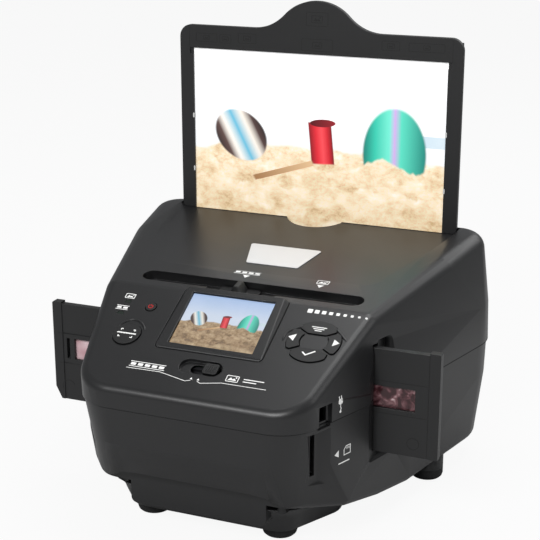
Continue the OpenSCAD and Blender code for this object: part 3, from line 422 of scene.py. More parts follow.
def rim_band(node):
    """A thin band of painted shadow along the outer lower rim of a shell, from behind RIM_FRONT."""
    skin = bmesh.new()
    skin.from_mesh(merged(node))
    skin.normal_update()
    band = bmesh.new()
    a_side, b_side = Vector(cad_bounds[0]), Vector(cad_bounds[1])
    for edge in skin.edges:
        a, b = (v.co.copy() for v in edge.verts)
        if len(edge.link_faces) != 2 or max(a.y, b.y) < RIM_FRONT * MM:
            continue
        if max(a.z, b.z) > RIM_HIGH * MM or min(a.z, b.z) < RIM_LOW * MM or abs(a.z - b.z) > 0.5 * MM:
            continue
        wall, under = sorted(edge.link_faces, key=lambda face: -face.normal.z)
        flat = Vector((wall.normal.x, wall.normal.y, 0))
        # An upright wall over a face that looks down, on the outside of the body
        if under.normal.z > -0.7 or abs(wall.normal.z) > 0.6 or flat.dot(Vector((a.x, a.y, 0))) <= 0:
            continue
        out_way = flat.normalized()
        corners = []
        top = BAND_DROP + BAND_HEIGHT
        for reach in (BAND_SINK, BAND_OUT):
            for place, rise in ((a, BAND_DROP), (b, BAND_DROP), (b, top), (a, top)):
                corner = place + out_way * reach * MM + Vector((0, 0, rise * MM))
                corner.x = min(max(corner.x, a_side.x), b_side.x)
                corner.y = min(max(corner.y, a_side.y), b_side.y)
                corners.append(band.verts.new(corner))
        for loop in ((0, 1, 2, 3), (7, 6, 5, 4), (0, 4, 5, 1), (1, 5, 6, 2), (2, 6, 7, 3), (3, 7, 4, 0)):
            band.faces.new([corners[i] for i in loop])
    skin.free()
    bmesh.ops.recalc_face_normals(band, faces=band.faces)
    mesh = bpy.data.meshes.new("parting_line")
    band.to_mesh(mesh)
    band.free()
    return mesh


line_mesh = rim_band("upper_housing")
put("parting_line", line_mesh, "housing", gap_shadow_paint)
print("parting line faces:", len(line_mesh.polygons))

# %% [markdown]
# The pieces inside are right as they are, so they keep their CAD mesh and get the finish of the real part.

# %% Finishes of the inside


def finish_node(node, material):
    """A CAD node keeps its mesh and gets a finish."""
    slots = frame["nodes"][node].data.materials
    slots.clear()
    slots.append(material)


INSIDE = {
    board_green: ("key_board", "main_board", "side_board", "sensor_board"),
    chip_epoxy: ("board_chips", "key_switches", "mode_switch_case"),
    tinned_steel: ("usb_socket", "card_socket"),
    ground_steel: ("guide_rods", "holder_pins"),
    anodised_black: ("lens_barrel",),
    coated_glass: ("lens_glass",),
    lens_green: ("status_lights",),
    screen_metal: ("screen_module",),
    lamp_white: ("backlight_board", "backlight_diffuser", "lamp_strips"),
    inner_abs: ("optical_bed", "camera_bracket", "film_guide", "rod_bracket_left", "rod_bracket_right",
                "lamp_brackets",
                "tray_guide_left", "tray_guide_right", "backlight_carriage"),
}
for material, nodes in INSIDE.items():
    for node in nodes:
        finish_node(node, material)
print("inside nodes:", sum(len(n) for n in INSIDE.values()))

# %% [markdown]
# Marks and relief start as outlines: lists of points in a face's own millimetres. A stroke turns a line of
# points into a band, and a slab gives any outline a thickness. Many small slabs join into one mesh.

# %% Outlines


def round_outline(r, centre=(0, 0), steps=32, start=0.0, end=360.0):
    """Points of a circle or an arc round centre, angles in degrees."""
    turns = steps if end - start >= 360 else steps + 1
    return [(centre[0] + r * math.cos(math.radians(start + (end - start) * i / steps)),
             centre[1] + r * math.sin(math.radians(start + (end - start) * i / steps))) for i in range(turns)]


def rounded_box(width, height, r, centre=(0, 0), steps=5):
    """Points of a rectangle with rounded corners."""
    points = []
    for sx, sy, start in ((1, 1, 0), (-1, 1, 90), (-1, -1, 180), (1, -1, 270)):
        corner = (centre[0] + sx * (width / 2 - r), centre[1] + sy * (height / 2 - r))
        points += round_outline(r, corner, steps, start, start + 90)
    return points


def stroke(points, width, closed=False):
    """Four-cornered pieces of a band of width along points, mitred where they meet."""
    path = [Vector(p) for p in points]
    count = len(path)
    sides = []
    for i, p in enumerate(path):
        before = path[i - 1] if i or closed else None
        after = path[(i + 1) % count] if i < count - 1 or closed else None
        runs = [(b - a).normalized() for a, b in ((before, p), (p, after)) if a is not None and b is not None]
        run = sum(runs, Vector((0, 0))).normalized()
        reach = width / 2 / max(0.4, run.dot(runs[0]))
        sides.append((p + Vector((-run.y, run.x)) * reach, p - Vector((-run.y, run.x)) * reach))
    last = count if closed else count - 1
    return [[sides[i][1], sides[(i + 1) % count][1], sides[(i + 1) % count][0],
             sides[i][0]] for i in range(last)]


def slabs(outlines, low, high):
    """One mesh of closed slabs between two heights, in millimetres."""
    shape = bmesh.new()
    for outline in outlines:
        bottom = [shape.verts.new((p[0], p[1], low)) for p in outline]
        top = [shape.verts.new((p[0], p[1], high)) for p in outline]
        shape.faces.new(list(reversed(bottom)))
        shape.faces.new(top)
        for i in range(len(outline)):
            j = (i + 1) % len(outline)
            shape.faces.new((bottom[i], bottom[j], top[j], top[i]))
    bmesh.ops.recalc_face_normals(shape, faces=shape.faces)
    return shape


def placed(name, shape, face):
    """The mesh of a shape drawn in a face's millimetres, at its place on the object."""
    shape.transform(face @ Matrix.Scale(MM, 4))
    mesh = bpy.data.meshes.new(name)
    shape.to_mesh(mesh)
    shape.free()
    return mesh


# %% [markdown]
# Relief on moulded plastic has round edges. A bead is a half-round ridge that follows a smooth curve through
# a few measured points and runs out at both ends, like the ridges beside the buttons.

# %% Half-round ridges


def curve_through(points, steps=8):
    """A Catmull-Rom curve through points."""
    p = [Vector(points[0])] + [Vector(q) for q in points] + [Vector(points[-1])]
    curve = []
    for i in range(1, len(p) - 2):
        for k in range(steps):
            t = k / steps
            even = (2 * p[i - 1] - 5 * p[i] + 4 * p[i + 1] - p[i + 2]) * t ** 2
            odd = (3 * p[i] - p[i - 1] - 3 * p[i + 1] + p[i + 2]) * t ** 3
            curve.append(0.5 * (2 * p[i] + (p[i + 1] - p[i - 1]) * t + even + odd))
    return curve + [p[-1]]


def bead(points, width, height, run_out=2.0, sink=0.3):
    """A closed half-round ridge along a smooth curve, sunk a little into the face that carries it."""
    path = curve_through(points)
    length = [0.0]
    for a, b in zip(path, path[1:]):
        length.append(length[-1] + (b - a).length)
    shape = bmesh.new()
    rings = []
    for i, p in enumerate(path):
        run = (path[min(i + 1, len(path) - 1)] - path[max(i - 1, 0)]).normalized()
        across = Vector((-run.y, run.x))
        share = min(1.0, 0.15 + min(length[i], length[-1] - length[i]) / run_out)
        ring = []
        for k in range(9):
            turn = math.pi * k / 8
            side = p + across * math.cos(turn) * width / 2 * math.sqrt(share)
            ring.append(shape.verts.new((side.x, side.y, math.sin(turn) * height * share)))
        for sign in (-1, 1):
            side = p + across * sign * width / 2 * math.sqrt(share)
            ring.append(shape.verts.new((side.x, side.y, -sink)))
        rings.append(ring)
    for one, two in zip(rings, rings[1:]):
        for k in range(len(one)):
            shape.faces.new((one[k], one[(k + 1) % len(one)], two[(k + 1) % len(one)], two[k]))
    shape.faces.new(rings[0])
    shape.faces.new(rings[-1])
    bmesh.ops.recalc_face_normals(shape, faces=shape.faces)
    return shape


SCAN_RIDGE = [(-60.6, 47.0), (-59.2, 50.0), (-55.4, 53.2), (-50.1, 52.8), (-45.6, 49.2), (-43.9, 46.4)]
KEY_RIDGE = [(39.1, 53.5), (39.1, 57.6), (40.3, 61.1), (44.2, 64.3), (48.1, 67.0), (51.2, 68.8), (53.0, 70.6),
             (56.4, 71.6),
             (60.2, 71.2), (64.6, 68.7), (69.5, 64.9), (74.3, 60.2), (74.8, 59.5)]
for name, path, width, height in (("scan_key_ridge", SCAN_RIDGE, 1.5, 0.6),
                                  ("key_ring_ridge", KEY_RIDGE, 1.4, 0.6)):
    ridge = put(name, placed(name, bead(path, width, height), PANEL), "housing", housing_abs)
    shaded(ridge, 50)
print("ridge faces:", len(ridge.data.polygons))

# %% [markdown]
# The ink follows the surface that it is printed on. Each mark is drawn flat and its sides are cut into short
# pieces. Every corner is dropped along the face's normal onto the CAD surface and ends 0.05 mm above it, which
# is thicker than real ink, so that the mark never sinks into the surface.

# %% Printing on a surface


def split_long(outline, reach):
    """The outline with points added so that no side is longer than reach."""
    points = []
    for a, b in zip(outline, outline[1:] + outline[:1]):
        a, b = Vector(a), Vector(b)
        parts = max(1, math.ceil((b - a).length / reach))
        points += [a.lerp(b, k / parts) for k in range(parts)]
    return points


def surface_of(node):
    """A search tree over a CAD node's triangles."""
    mesh = frame["nodes"][node].data
    return BVHTree.FromPolygons([v.co for v in mesh.vertices], [p.vertices for p in mesh.polygons])


PRINTED_NODES = ("upper_housing", "lower_housing", "tray_frame", "holder_base", "holder_cover", "left_button",
                 "right_button", "mode_button", "enter_button", "scan_button", "power_button")
SURFACES = {node: surface_of(node) for node in PRINTED_NODES}


def print_on(name, outlines, face, node, ink, thick=0.05):
    """Marks printed on a CAD node, as one piece."""
    shape = slabs([split_long(o, 2.5) for o in outlines], -1.0, 1.0)
    out_way = (face.to_3x3() @ Vector((0, 0, 1))).normalized()
    for v in shape.verts:
        above = face @ (Vector((v.co.x, v.co.y, 12.0)) * MM)
        hit = SURFACES[node].ray_cast(above, -out_way, 30 * MM)[0]
        place = hit if hit else face @ (Vector((v.co.x, v.co.y, 0)) * MM)
        v.co = place + out_way * (thick if v.co.z > 0 else -0.03) * MM
    mesh = bpy.data.meshes.new(name)
    shape.to_mesh(mesh)
    shape.free()
    return put(name, mesh, BODY_OF[node], ink)


# %% [markdown]
# The printed marks are plain pictograms: a strip of film, a framed picture, a triangle, a plug and a memory
# card. Each is a list of outlines round its own middle.

# %% Pictograms


def moved(outlines, x, y, size=1.0):
    return [[(x + p[0] * size, y + p[1] * size) for p in o] for o in outlines]


def film_mark(w, h):
    """A strip of film: two rails and a row of frames."""
    marks = stroke([(-w / 2, h / 2), (w / 2, h / 2)], 0.45) + stroke([(-w / 2, -h / 2), (w / 2, -h / 2)], 0.45)
    count = max(2, round(w / 4.2))
    pitch = w / count
    return marks + [rounded_box(pitch * 0.72, h * 0.5, 0.25, ((i - (count - 1) / 2) * pitch, 0),
                                2) for i in range(count)]


def picture_mark(w, h):
    """A framed picture with a hill and a sun."""
    marks = stroke(rounded_box(w, h, 0.4, steps=3), 0.45, closed=True)
    marks.append([(-w * 0.36, -h * 0.28), (w * 0.38, -h * 0.28), (w * 0.16, h * 0.1), (w * 0.02, -h * 0.08),
                  (-w * 0.14, h * 0.2)])
    return marks + [round_outline(h * 0.12, (w * 0.3, h * 0.24), 12)]


def triangle_mark(size, turn=0.0):
    return [[(size * math.cos(math.radians(turn + a)),
              size * math.sin(math.radians(turn + a))) for a in (90, 210, 330)]]


def plug_mark():
    """A plug with two pins and its lead."""
    marks = [rounded_box(3.4, 3.0, 0.9, (0, 0.8), 4)]
    marks += [rounded_box(0.6, 1.9, 0.2, (x, 3.0), 2) for x in (-0.9, 0.9)]
    marks += stroke([(0, -0.6), (0, -2.2), (0.5, -3.4), (0, -4.6)], 0.55)
    return marks + [round_outline(0.75, (0, -5.2), 12)]


def card_mark():
    """A memory card with a cut corner and its contacts."""
    body = [(-2.7, -2.5), (2.7, -2.5), (2.7, 2.5), (-0.9, 2.5), (-2.7, 0.7)]
    marks = stroke(body, 0.5, closed=True)
    return marks + [rounded_box(0.45, 1.3, 0.1, (x, 1.1), 2) for x in (-0.3, 0.7, 1.7)]


print("film mark outlines:", len(film_mark(9, 3.4)))

# %% [markdown]
# Each mark's place is written in its own face's millimetres, along the face first and then up it.

# %% Marks on the housings and buttons
UPPER_LIGHT, LOWER_LIGHT = (-64.6, 71.7), (-65.5, 61.8)      # marks beside the status lights
SWITCH_LEFT, SWITCH_RIGHT = (-30.5, 20.6), (21.5, 20.6)      # marks of the switch's two positions
LEVER_LEFT, LEVER_RIGHT = (-6.0, 31.2), (42.5, 30.6)         # marks of the lever's two positions
panel_marks = moved(picture_mark(6.0, 3.4), *UPPER_LIGHT) + moved(film_mark(8.0, 3.0), *LOWER_LIGHT)
panel_marks += moved(film_mark(22.0, 3.6), *SWITCH_LEFT) + moved(picture_mark(7.0, 4.2), *SWITCH_RIGHT)
panel_marks += moved(stroke([(0, 0), (12.0, 0)], 0.6), 28, 21.4) + moved(stroke([(0, 0), (8.0, 0)], 0.6), 28,
                                                                         19.6)
panel_marks += stroke([(-42.3, 17.2), (-21.4, 17.5), (-4.6, 13.9), (-1.6, 15.0)], 0.34)
panel_marks += stroke([(42.9, 16.4), (16.4, 16.4), (4.6, 13.9), (2.4, 15.0)], 0.34)
panel_marks += moved(triangle_mark(0.95), -1.6, 16.2) + moved(triangle_mark(0.95), 2.6, 16.2)
# A run of small squares over the keys, which grow finer from left to right
for i in range(9):
    size = 3.0 - 0.22 * i
    panel_marks += moved([rounded_box(size, size, 0.3, steps=2)], 47.0 + 4.2 * i, 79.0)
print_on("panel_marks", panel_marks, PANEL, "upper_housing", white_ink)
top_marks = moved(film_mark(17.0, 3.6), *LEVER_LEFT) + moved(picture_mark(7.0, 4.2), *LEVER_RIGHT)
top_marks += moved([[(-2.1, 1.6), (0.3, -1.7), (2.5, 1.5)]], -5.6,
                   26.2) + moved([[(-2.0, 1.7), (0.2, -1.7), (2.2, 1.6)]], 42.2, 25.2)
print_on("top_marks", top_marks, TOP, "upper_housing", white_ink)
print_on("plug_mark", moved(plug_mark(), 6.2, 89.8), PORTS, "upper_housing", white_ink)
card_marks = moved([[(-1.9, 0), (1.7, -2.1), (1.7, 2.1)]], 5.0, 58.8) + moved(card_mark(), 14.0, 59.0)
card_marks += moved([rounded_box(9.5, 0.7, 0.3, steps=3)], 11.4, 52.4)
print_on("card_marks", card_marks, PORTS, "lower_housing", white_ink)
power_marks = stroke(round_outline(1.35, (-48.2, 65.2), 20, 125, 415),
                     0.45) + stroke([(-48.2, 65.5), (-48.2, 67.0)], 0.45)
print_on("power_mark", power_marks, PANEL, "power_button", red_ink)
scan_marks = stroke([(-57.6, 43.6), (-57.6, 44.6), (-56.4, 44.6)],
                    0.6) + stroke([(-50.0, 44.6), (-48.8, 44.6), (-48.8, 43.6)], 0.6)
scan_marks += stroke([(-57.6, 39.6), (-57.6, 38.6), (-56.4, 38.6)],
                     0.6) + stroke([(-50.0, 38.6), (-48.8, 38.6), (-48.8, 39.6)], 0.6)
scan_marks += stroke([(-59.2, 41.6), (-47.2, 41.6)], 0.9)
print_on("scan_mark", scan_marks, PANEL, "scan_button", white_ink)
mode_marks = [rounded_box(9.0 - 2.4 * i, 0.6, 0.25, (57.0, 66.5 - 1.35 * i), 3) for i in range(3)]
print_on("mode_mark", mode_marks, PANEL, "mode_button", white_ink)
enter_marks = stroke([(53.4, 46.8), (55.8, 44.8), (60.6, 48.4)], 0.85)
print_on("enter_mark", enter_marks, PANEL, "enter_button", white_ink)
print_on("left_mark", [[(41.7, 56.7), (45.3, 53.9), (45.9, 59.3)]], PANEL, "left_button", white_ink)
print_on("right_mark", [[(72.0, 56.6), (68.4, 58.9), (68.3, 53.9)]], PANEL, "right_button", white_ink)

# %% [markdown]
# The tray and the holder carry low moulded relief: boxes on the tray's top bar, ticks under them and lines
# round the film windows. Its real height can't be read from the photo. It is drawn as lines 0.06 mm high,
# painted near-black as the shade that falls in the relief.

# %% Relief on the tray and the holder
RELIEF = 0.06                                # height of the drawn relief
WINDOWS, WINDOW_PITCH = 6, 37.0              # film windows, and the distance between their middles
TRAY_FACE = front_face(93.0)
tray_boxes = [(-77.0, 258.6, 15.0, 5.4), (-63.5, 258.4, 8.0, 5.4), (-48.0, 259.4, 12.6, 6.2),
              (0.6, 257.6, 21.0, 7.6),
              (0.4, 274.0, 14.6, 8.6), (49.7, 259.8, 11.6, 5.6), (73.0, 259.8, 23.0, 5.2)]
tray_relief = []
for x, height, width, tall in tray_boxes:
    tray_relief += stroke(rounded_box(width, tall, 0.6, (x, height), 3), 0.35, closed=True)
    tray_relief += moved(picture_mark(min(width, tall * 1.5) * 0.55, tall * 0.5), x, height)
for side in (-1, 1):
    # Where the side rails meet the top bar
    tray_relief += stroke([(side * 89.6, 251.5), (side * 89.6, 265.0)], 0.3)
print_on("tray_relief", tray_relief, TRAY_FACE, "tray_frame", relief_shade_paint, thick=RELIEF)

HOLDER_FACE = front_face(-41.8)
HOLDER_FRONT = min(("holder_base", "holder_cover"), key=lambda node: box_mm(node)[0].y)
holder_relief = []
for height in (92.2, 72.6):
    holder_relief += stroke([(-118.0, height), (118.0, height)], 0.35)
holder_relief += stroke(round_outline(3.5, (110.5, 56.4), 28), 0.4, closed=True)
holder_relief += stroke(round_outline(4.2, (-112.0, 57.0), 14, 20, 200), 0.4)
print_on("holder_relief", holder_relief, HOLDER_FACE, HOLDER_FRONT, relief_shade_paint, thick=RELIEF)
paper_tabs = [rounded_box(1.1, 3.2, 0.3, (side * 87.2, height),
                          3) for side in (-1, 1) for height in (206.2, 169.8)]
print_on("rail_tabs", paper_tabs, TRAY_FACE, "tray_frame", tab_white, thick=0.12)

# %% [markdown]
# Things that repeat are made once and set out in a row by Geometry Nodes: the grip ribs on the switch's
# slider, the ticks under the tray's boxes and the small dimple marks below the film windows.

# %% A row of one shape
row = bpy.data.node_groups.new("shape_row", "GeometryNodeTree")
row.interface.new_socket("Geometry", in_out="OUTPUT", socket_type="NodeSocketGeometry")
ROW_SOCKETS = {label: row.interface.new_socket(label, in_out="INPUT", socket_type=kind).identifier for label,
               kind in (
    ("Shape", "NodeSocketObject"), ("Count", "NodeSocketInt"), ("Start",
                                                                "NodeSocketVector"), ("Step",
                                                                                      "NodeSocketVector"),
    ("Finish", "NodeSocketMaterial"))}
given = add(row, "NodeGroupInput")
line = add(row, "GeometryNodeMeshLine", links={"Count": given.outputs["Count"],
                                               "Start Location": given.outputs["Start"],
                                               "Offset": given.outputs["Step"]}, mode="OFFSET")
shape = add(row, "GeometryNodeObjectInfo", links={"Object": given.outputs["Shape"]})
spread = add(row, "GeometryNodeInstanceOnPoints",
             links={"Points": line.outputs[0], "Instance": shape.outputs["Geometry"]})
real = add(row, "GeometryNodeRealizeInstances", links={"Geometry": spread.outputs[0]})
finish = add(row, "GeometryNodeSetMaterial",
             links={"Geometry": real.outputs[0], "Material": given.outputs["Finish"]})
add(row, "NodeGroupOutput", links={0: finish.outputs[0]})


def shape_row(name, shape, count, start, step, material):
    """A plain mesh with count copies of a shape, in a face's millimetres."""
    one_mesh = bpy.data.meshes.new(name + "_one")
    shape.to_mesh(one_mesh)
    shape.free()
    one = bpy.data.objects.new(name + "_one", one_mesh)
    host = bpy.data.objects.new(name + "_host", bpy.data.meshes.new(name + "_host"))
    for obj in (one, host):
        bpy.context.scene.collection.objects.link(obj)
    nodes = host.modifiers.new("row", "NODES")
    nodes.node_group = row
    for label, value in (("Shape", one), ("Count", count), ("Start", start), ("Step", step),
                         ("Finish", material)):
        nodes[ROW_SOCKETS[label]] = value
    mesh = bpy.data.meshes.new_from_object(host.evaluated_get(bpy.context.evaluated_depsgraph_get()))
    for obj in (one, host):
        old = obj.data
        bpy.data.objects.remove(obj)
        bpy.data.meshes.remove(old)
    return mesh


def set_out(name, shape, count, start, step, material, face, node):
    """A row of shapes on a CAD node's face, as one piece."""
    mesh = shape_row(name, shape, count, start, step, material)
    mesh.transform(face @ Matrix.Scale(MM, 4))
    return shaded(put(name, mesh, BODY_OF[node], material), 40)


dressed("mode_slider", key_abs, edge_mm=0.5)
slider_face = shifted(PANEL, 6.7, 25.1, 0.3)
set_out("slider_ribs", bead([(0, -2.9), (0, 2.9)], 0.7, 0.35, 0.8, 0.2), 5, (-2.6, 0, 0), (1.3, 0, 0), key_abs,
        slider_face, "mode_slider")
# The dimples and the ticks below carry painted shade: they are near-black so that they show as relief.
set_out("window_dimples", slabs([round_outline(0.45, (-1.0, 0), 12), round_outline(0.45, (1.0, 0), 12)], -0.02,
                                RELIEF), WINDOWS,
        (-77.0, 74.0, 0), (WINDOW_PITCH, 0, 0), relief_shade_paint, HOLDER_FACE, "holder_cover")
set_out("tray_ticks", slabs([rounded_box(0.35, 2.0, 0.1, steps=2)], -0.02, RELIEF), 12, (-79.5, 252.7, 0),
        (14.4, 0, 0), relief_shade_paint,
        TRAY_FACE, "tray_frame")
print("rows done")

# %% [markdown]
# The print and the screen show a made-up beach: bright sky, a strip of sea, heaps of sand and some toys. It is
# built from nodes in layers from the far sky to the near sand. A heap is everything below a wavy line, and a
# toy is a turned and scaled circle or square. The sand's speckle is drawn coarser than real grains.

# %% Beach picture


def heap(tree, below, across, up, spot, level, swell, waves, soft, tones, speckle):
    """Sand up to a wavy line round level, over the picture below."""
    wave = add(tree, "ShaderNodeTexNoise", {"W": level * 37 + waves, "Scale": waves, "Detail": 4.0},
               {"Vector": across}, noise_dimensions="4D")
    line = add(tree, "ShaderNodeMapRange", {"From Min": 0.25, "From Max": 0.75, "To Min": level - swell,
                                            "To Max": level + swell},
               {"Value": wave.outputs["Fac"]})
    depth = add(tree, "ShaderNodeMath", links={0: line.outputs[0], 1: up}, operation="SUBTRACT")
    mask = add(tree, "ShaderNodeMapRange", {"From Max": soft}, {"Value": depth.outputs[0]},
               interpolation_type="SMOOTHSTEP")
    grains = add(tree, "ShaderNodeTexNoise", {"Scale": speckle, "Detail": 9.0, "Roughness": 0.78,
                                              "Distortion": 0.15}, {"Vector": spot})
    lit = add(tree, "ShaderNodeMath", {1: -0.5}, {0: depth.outputs[0], 2: grains.outputs["Fac"]},
              operation="MULTIPLY_ADD")
    sand = add(tree, "ShaderNodeValToRGB", links={"Fac": lit.outputs[0]},
               stops=list(zip((0.3, 0.42, 0.52, 0.64), tones)))
    return add(tree, "ShaderNodeMix", links={0: mask.outputs[0], 6: below, 7: sand.outputs["Color"]},
               data_type="RGBA").outputs[2]


def toy(tree, below, spot, centre, size, turn_deg, stops, square=False):
    """A circle or square, banded from its left to its right side by stops, over the picture below."""
    inside = add(tree, "ShaderNodeMapping", {"Location": (*centre, 0),
                                             "Rotation": (0, 0, math.radians(turn_deg)), "Scale": (*size, 1)},
                 {"Vector": spot}, vector_type="TEXTURE")
    parts = add(tree, "ShaderNodeSeparateXYZ", links={"Vector": inside.outputs[0]})
    if square:
        sides = [add(tree, "ShaderNodeMath", links={0: parts.outputs[i]},
                     operation="ABSOLUTE").outputs[0] for i in (0, 1)]
        away = add(tree, "ShaderNodeMath", links={0: sides[0], 1: sides[1]}, operation="MAXIMUM")
    else:
        away = add(tree, "ShaderNodeVectorMath", links={0: inside.outputs[0]}, operation="LENGTH")
    mask = add(tree, "ShaderNodeMapRange", {"From Min": 1.04, "From Max": 0.94},
               {"Value": away.outputs["Value" if not square else 0]}, interpolation_type="SMOOTHSTEP")
    across = add(tree, "ShaderNodeMapRange", {"From Min": -1.0}, {"Value": parts.outputs["X"]})
    bands = add(tree, "ShaderNodeValToRGB", links={"Fac": across.outputs[0]}, stops=stops)
    return add(tree, "ShaderNodeMix", links={0: mask.outputs[0], 6: below, 7: bands.outputs["Color"]},
               data_type="RGBA").outputs[2]


def beach(tree, across, up, sky, far_sand, near_sand):
    """The picture's colour, from 0 to 1 across and up."""
    spot = add(tree, "ShaderNodeCombineXYZ", links={"X": across, "Y": up}).outputs[0]
    picture = add(tree, "ShaderNodeValToRGB", links={"Fac": up}, stops=sky).outputs["Color"]
    picture = toy(tree, picture, spot, (0.9, 0.58), (0.14, 0.03), 0,
                  [(0, "#e6edf2"), (0.5, "#c3d5e0"), (1, "#d9e4eb")], True)
    picture = heap(tree, picture, across, up, spot, 0.50, 0.05, 2.2, 0.03, far_sand, 16)
    picture = toy(tree, picture, spot, (0.80, 0.50), (0.12, 0.24), 0,
                  [(0, "#0f6f66"), (0.2, "#33bfa6"), (0.42, "#6fe0c8"), (0.5, "#c9a6df"), (0.6, "#56d2b8"),
                   (1, "#127a70")])
    picture = toy(tree, picture, spot, (0.52, 0.53), (0.045, 0.11), 4,
                  [(0, "#7c0f1a"), (0.3, "#d62532"), (0.55, "#ee4a52"), (0.8, "#c81f2c"), (1, "#6a0b14")], True)
    picture = toy(tree, picture, spot, (0.525, 0.635), (0.05, 0.02), 4, [(0, "#4b0a10"), (1, "#8e1a24")])
    picture = toy(tree, picture, spot, (0.20, 0.54), (0.10, 0.14), 20,
                  [(0, "#2b2120"), (0.16, "#5a4440"), (0.3, "#f3ede4"), (0.5, "#63b4d0"), (0.7, "#efe7dc"),
                   (0.86, "#4f3b38"), (1, "#241b1a")])
    picture = heap(tree, picture, across, up, spot, 0.42, 0.10, 3.1, 0.02, far_sand, 11)
    picture = toy(tree, picture, spot, (0.37, 0.37), (0.13, 0.014), 24, [(0, "#9c7048"), (1, "#d8b489")], True)
    picture = heap(tree, picture, across, up, spot, 0.29, 0.09, 5.3, 0.02, far_sand, 8)
    return heap(tree, picture, across, up, spot, 0.12, 0.06, 3.7, 0.06, near_sand, 6)


glossy_paper, tree, out = blank_material("glossy_photo_paper")
place = add(tree, "ShaderNodeSeparateXYZ", links={"Vector": add(tree, "ShaderNodeTexCoord").outputs["Object"]})
low, high = box_mm("photo_print")
across = add(tree, "ShaderNodeMapRange", {"From Min": low.x * MM, "From Max": high.x * MM},
             {"Value": place.outputs["X"]})
up = add(tree, "ShaderNodeMapRange", {"From Min": low.z * MM, "From Max": high.z * MM},
         {"Value": place.outputs["Z"]})
PRINT_SKY = [(0.0, "#f3f5f6"), (0.5, "#f2f4f6"), (0.75, "#fafbfb"), (1.0, "#fdfdfd")]
FAR_SAND = ("#c8a87c", "#e6cfaa", "#f3e2c6", "#fdf5e6")
picture = beach(tree, across.outputs[0], up.outputs[0], PRINT_SKY, FAR_SAND,
                ("#dcbb8c", "#f5dfba", "#fbeed8", "#fff9f0"))
# The paper also gives off a painted glow of its own picture, which lifts the print's brightness beyond what the
# lamps give.
paper = add(tree, "ShaderNodeBsdfPrincipled", {"Roughness": 0.32, "IOR": 1.45, "Emission Strength": 0.4},
            {"Base Color": picture, "Emission Color": picture})
tree.links.new(paper.outputs[0], out.inputs["Surface"])
finish_node("photo_print", glossy_paper)
print("print nodes:", len(tree.nodes))

# %% [markdown]
# The screen is a lit panel under a clear pane. Its picture is a thin sheet just under the pane, with its own
# UV map, and gives off its own light as a screen does.

# %% Screen
lit_screen, tree, out = blank_material("lit_colour_screen")
place = add(tree, "ShaderNodeSeparateXYZ", links={"Vector": add(tree, "ShaderNodeUVMap",
                                                                uv_map="picture").outputs["UV"]})
SCREEN_SKY = [(0.0, "#d8e0ea"), (0.62, "#cfd9ea"), (0.8, "#bccde8"), (1.0, "#a9c0e6")]
picture = beach(tree, place.outputs["X"], place.outputs["Y"], SCREEN_SKY,
                ("#5e4a34", "#957a5a", "#b49a78", "#cdb897"),
                ("#6a553c", "#9c8261", "#bda583", "#d6c3a2"))
panel = add(tree, "ShaderNodeBsdfPrincipled",
            {"Base Color": colour("#101216"), "Roughness": 0.2, "Emission Strength": 1.0},
            {"Emission Color": picture})
tree.links.new(panel.outputs[0], out.inputs["Surface"])

clear_glass, tree, out = blank_material("clear_screen_pane")
place = add(tree, "ShaderNodeTexCoord").outputs["Object"]
smear = add(tree, "ShaderNodeTexNoise", {"Scale": 1 / (12 * MM)}, {"Vector": place})
tint = add(tree, "ShaderNodeValToRGB", links={"Fac": smear.outputs["Fac"]},
           stops=[(0.3, "#f4f8f8"), (0.7, "#fdfefe")])
pane = add(tree, "ShaderNodeBsdfPrincipled", {"Roughness": 0.0, "IOR": 1.45, "Transmission Weight": 1.0},
           {"Base Color": tint.outputs[0]})
tree.links.new(pane.outputs[0], out.inputs["Surface"])
finish_node("screen_glass", clear_glass)

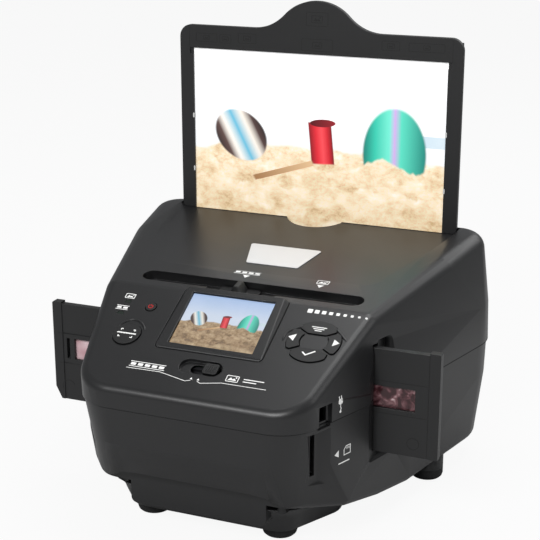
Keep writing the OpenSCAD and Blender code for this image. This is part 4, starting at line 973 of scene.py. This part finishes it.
SHOWN_WIDTH, SHOWN_HEIGHT, SHOWN_MIDDLE = 52, 40, 24.6
sheet = slabs([rounded_box(SHOWN_WIDTH, SHOWN_HEIGHT, 0.4, (0, SHOWN_MIDDLE), 3)], -2.18, -2.1)
uv = sheet.loops.layers.uv.new("picture")
for face in sheet.faces:
    for loop in face.loops:
        loop[uv].uv = (loop.vert.co.x / SHOWN_WIDTH + 0.5, (loop.vert.co.y - SHOWN_MIDDLE) / SHOWN_HEIGHT + 0.5)
put("screen_picture", placed("screen_picture", sheet, SCREEN), "housing", lit_screen)
print("screen done")

# %% [markdown]
# The film is a strip of colour negative, reddish brown with paler shapes. Soft blots stand for its pictures.
# Its left end catches the light in the photo and looks pale pink, which is painted here by position.

# %% Film
negative, tree, out = blank_material("colour_negative_film")
place = add(tree, "ShaderNodeTexCoord").outputs["Object"]
parts = add(tree, "ShaderNodeSeparateXYZ", links={"Vector": place})
shapes = add(tree, "ShaderNodeTexVoronoi", {"Scale": 1 / (9 * MM), "Randomness": 1.0}, {"Vector": place},
             feature="SMOOTH_F1")
blots = add(tree, "ShaderNodeTexNoise", {"Scale": 1 / (7 * MM), "Detail": 3.0, "Distortion": 1.2},
            {"Vector": place})
dark = add(tree, "ShaderNodeValToRGB", links={"Fac": blots.outputs["Fac"]},
           stops=[(0.42, "#33161a"), (0.5, "#4f2b30"), (0.6, "#7f5a5e"), (0.7, "#c9b3b4")])
pale = add(tree, "ShaderNodeValToRGB", links={"Fac": shapes.outputs["Distance"]},
           stops=[(0.0, "#8a4b52"), (0.3, "#c39aa0"), (0.6, "#e0c6ca")])
side = add(tree, "ShaderNodeMapRange", {"From Min": -70 * MM, "From Max": -20 * MM},
           {"Value": parts.outputs["X"]})
film_tone = add(tree, "ShaderNodeMix", links={0: side.outputs[0], 6: pale.outputs["Color"],
                                              7: dark.outputs["Color"]}, data_type="RGBA")
film = add(tree, "ShaderNodeBsdfPrincipled", {"Roughness": 0.16, "IOR": 1.5},
           {"Base Color": film_tone.outputs[2]})
tree.links.new(film.outputs[0], out.inputs["Surface"])
finish_node("film_strip", negative)

# %% [markdown]
# The screws are zinc-plated pan heads, pressed and rolled from wire. Their CAD copies get small round edges.

# %% Screws
for node in ("case_screws", "bed_screws"):
    dressed(node, zinc_screw, crease_deg=35, edge_mm=0.2)
unfinished = [o.name for o in bpy.data.objects if o.type == "MESH" and not o.data.materials]
print("without a finish:", unfinished)
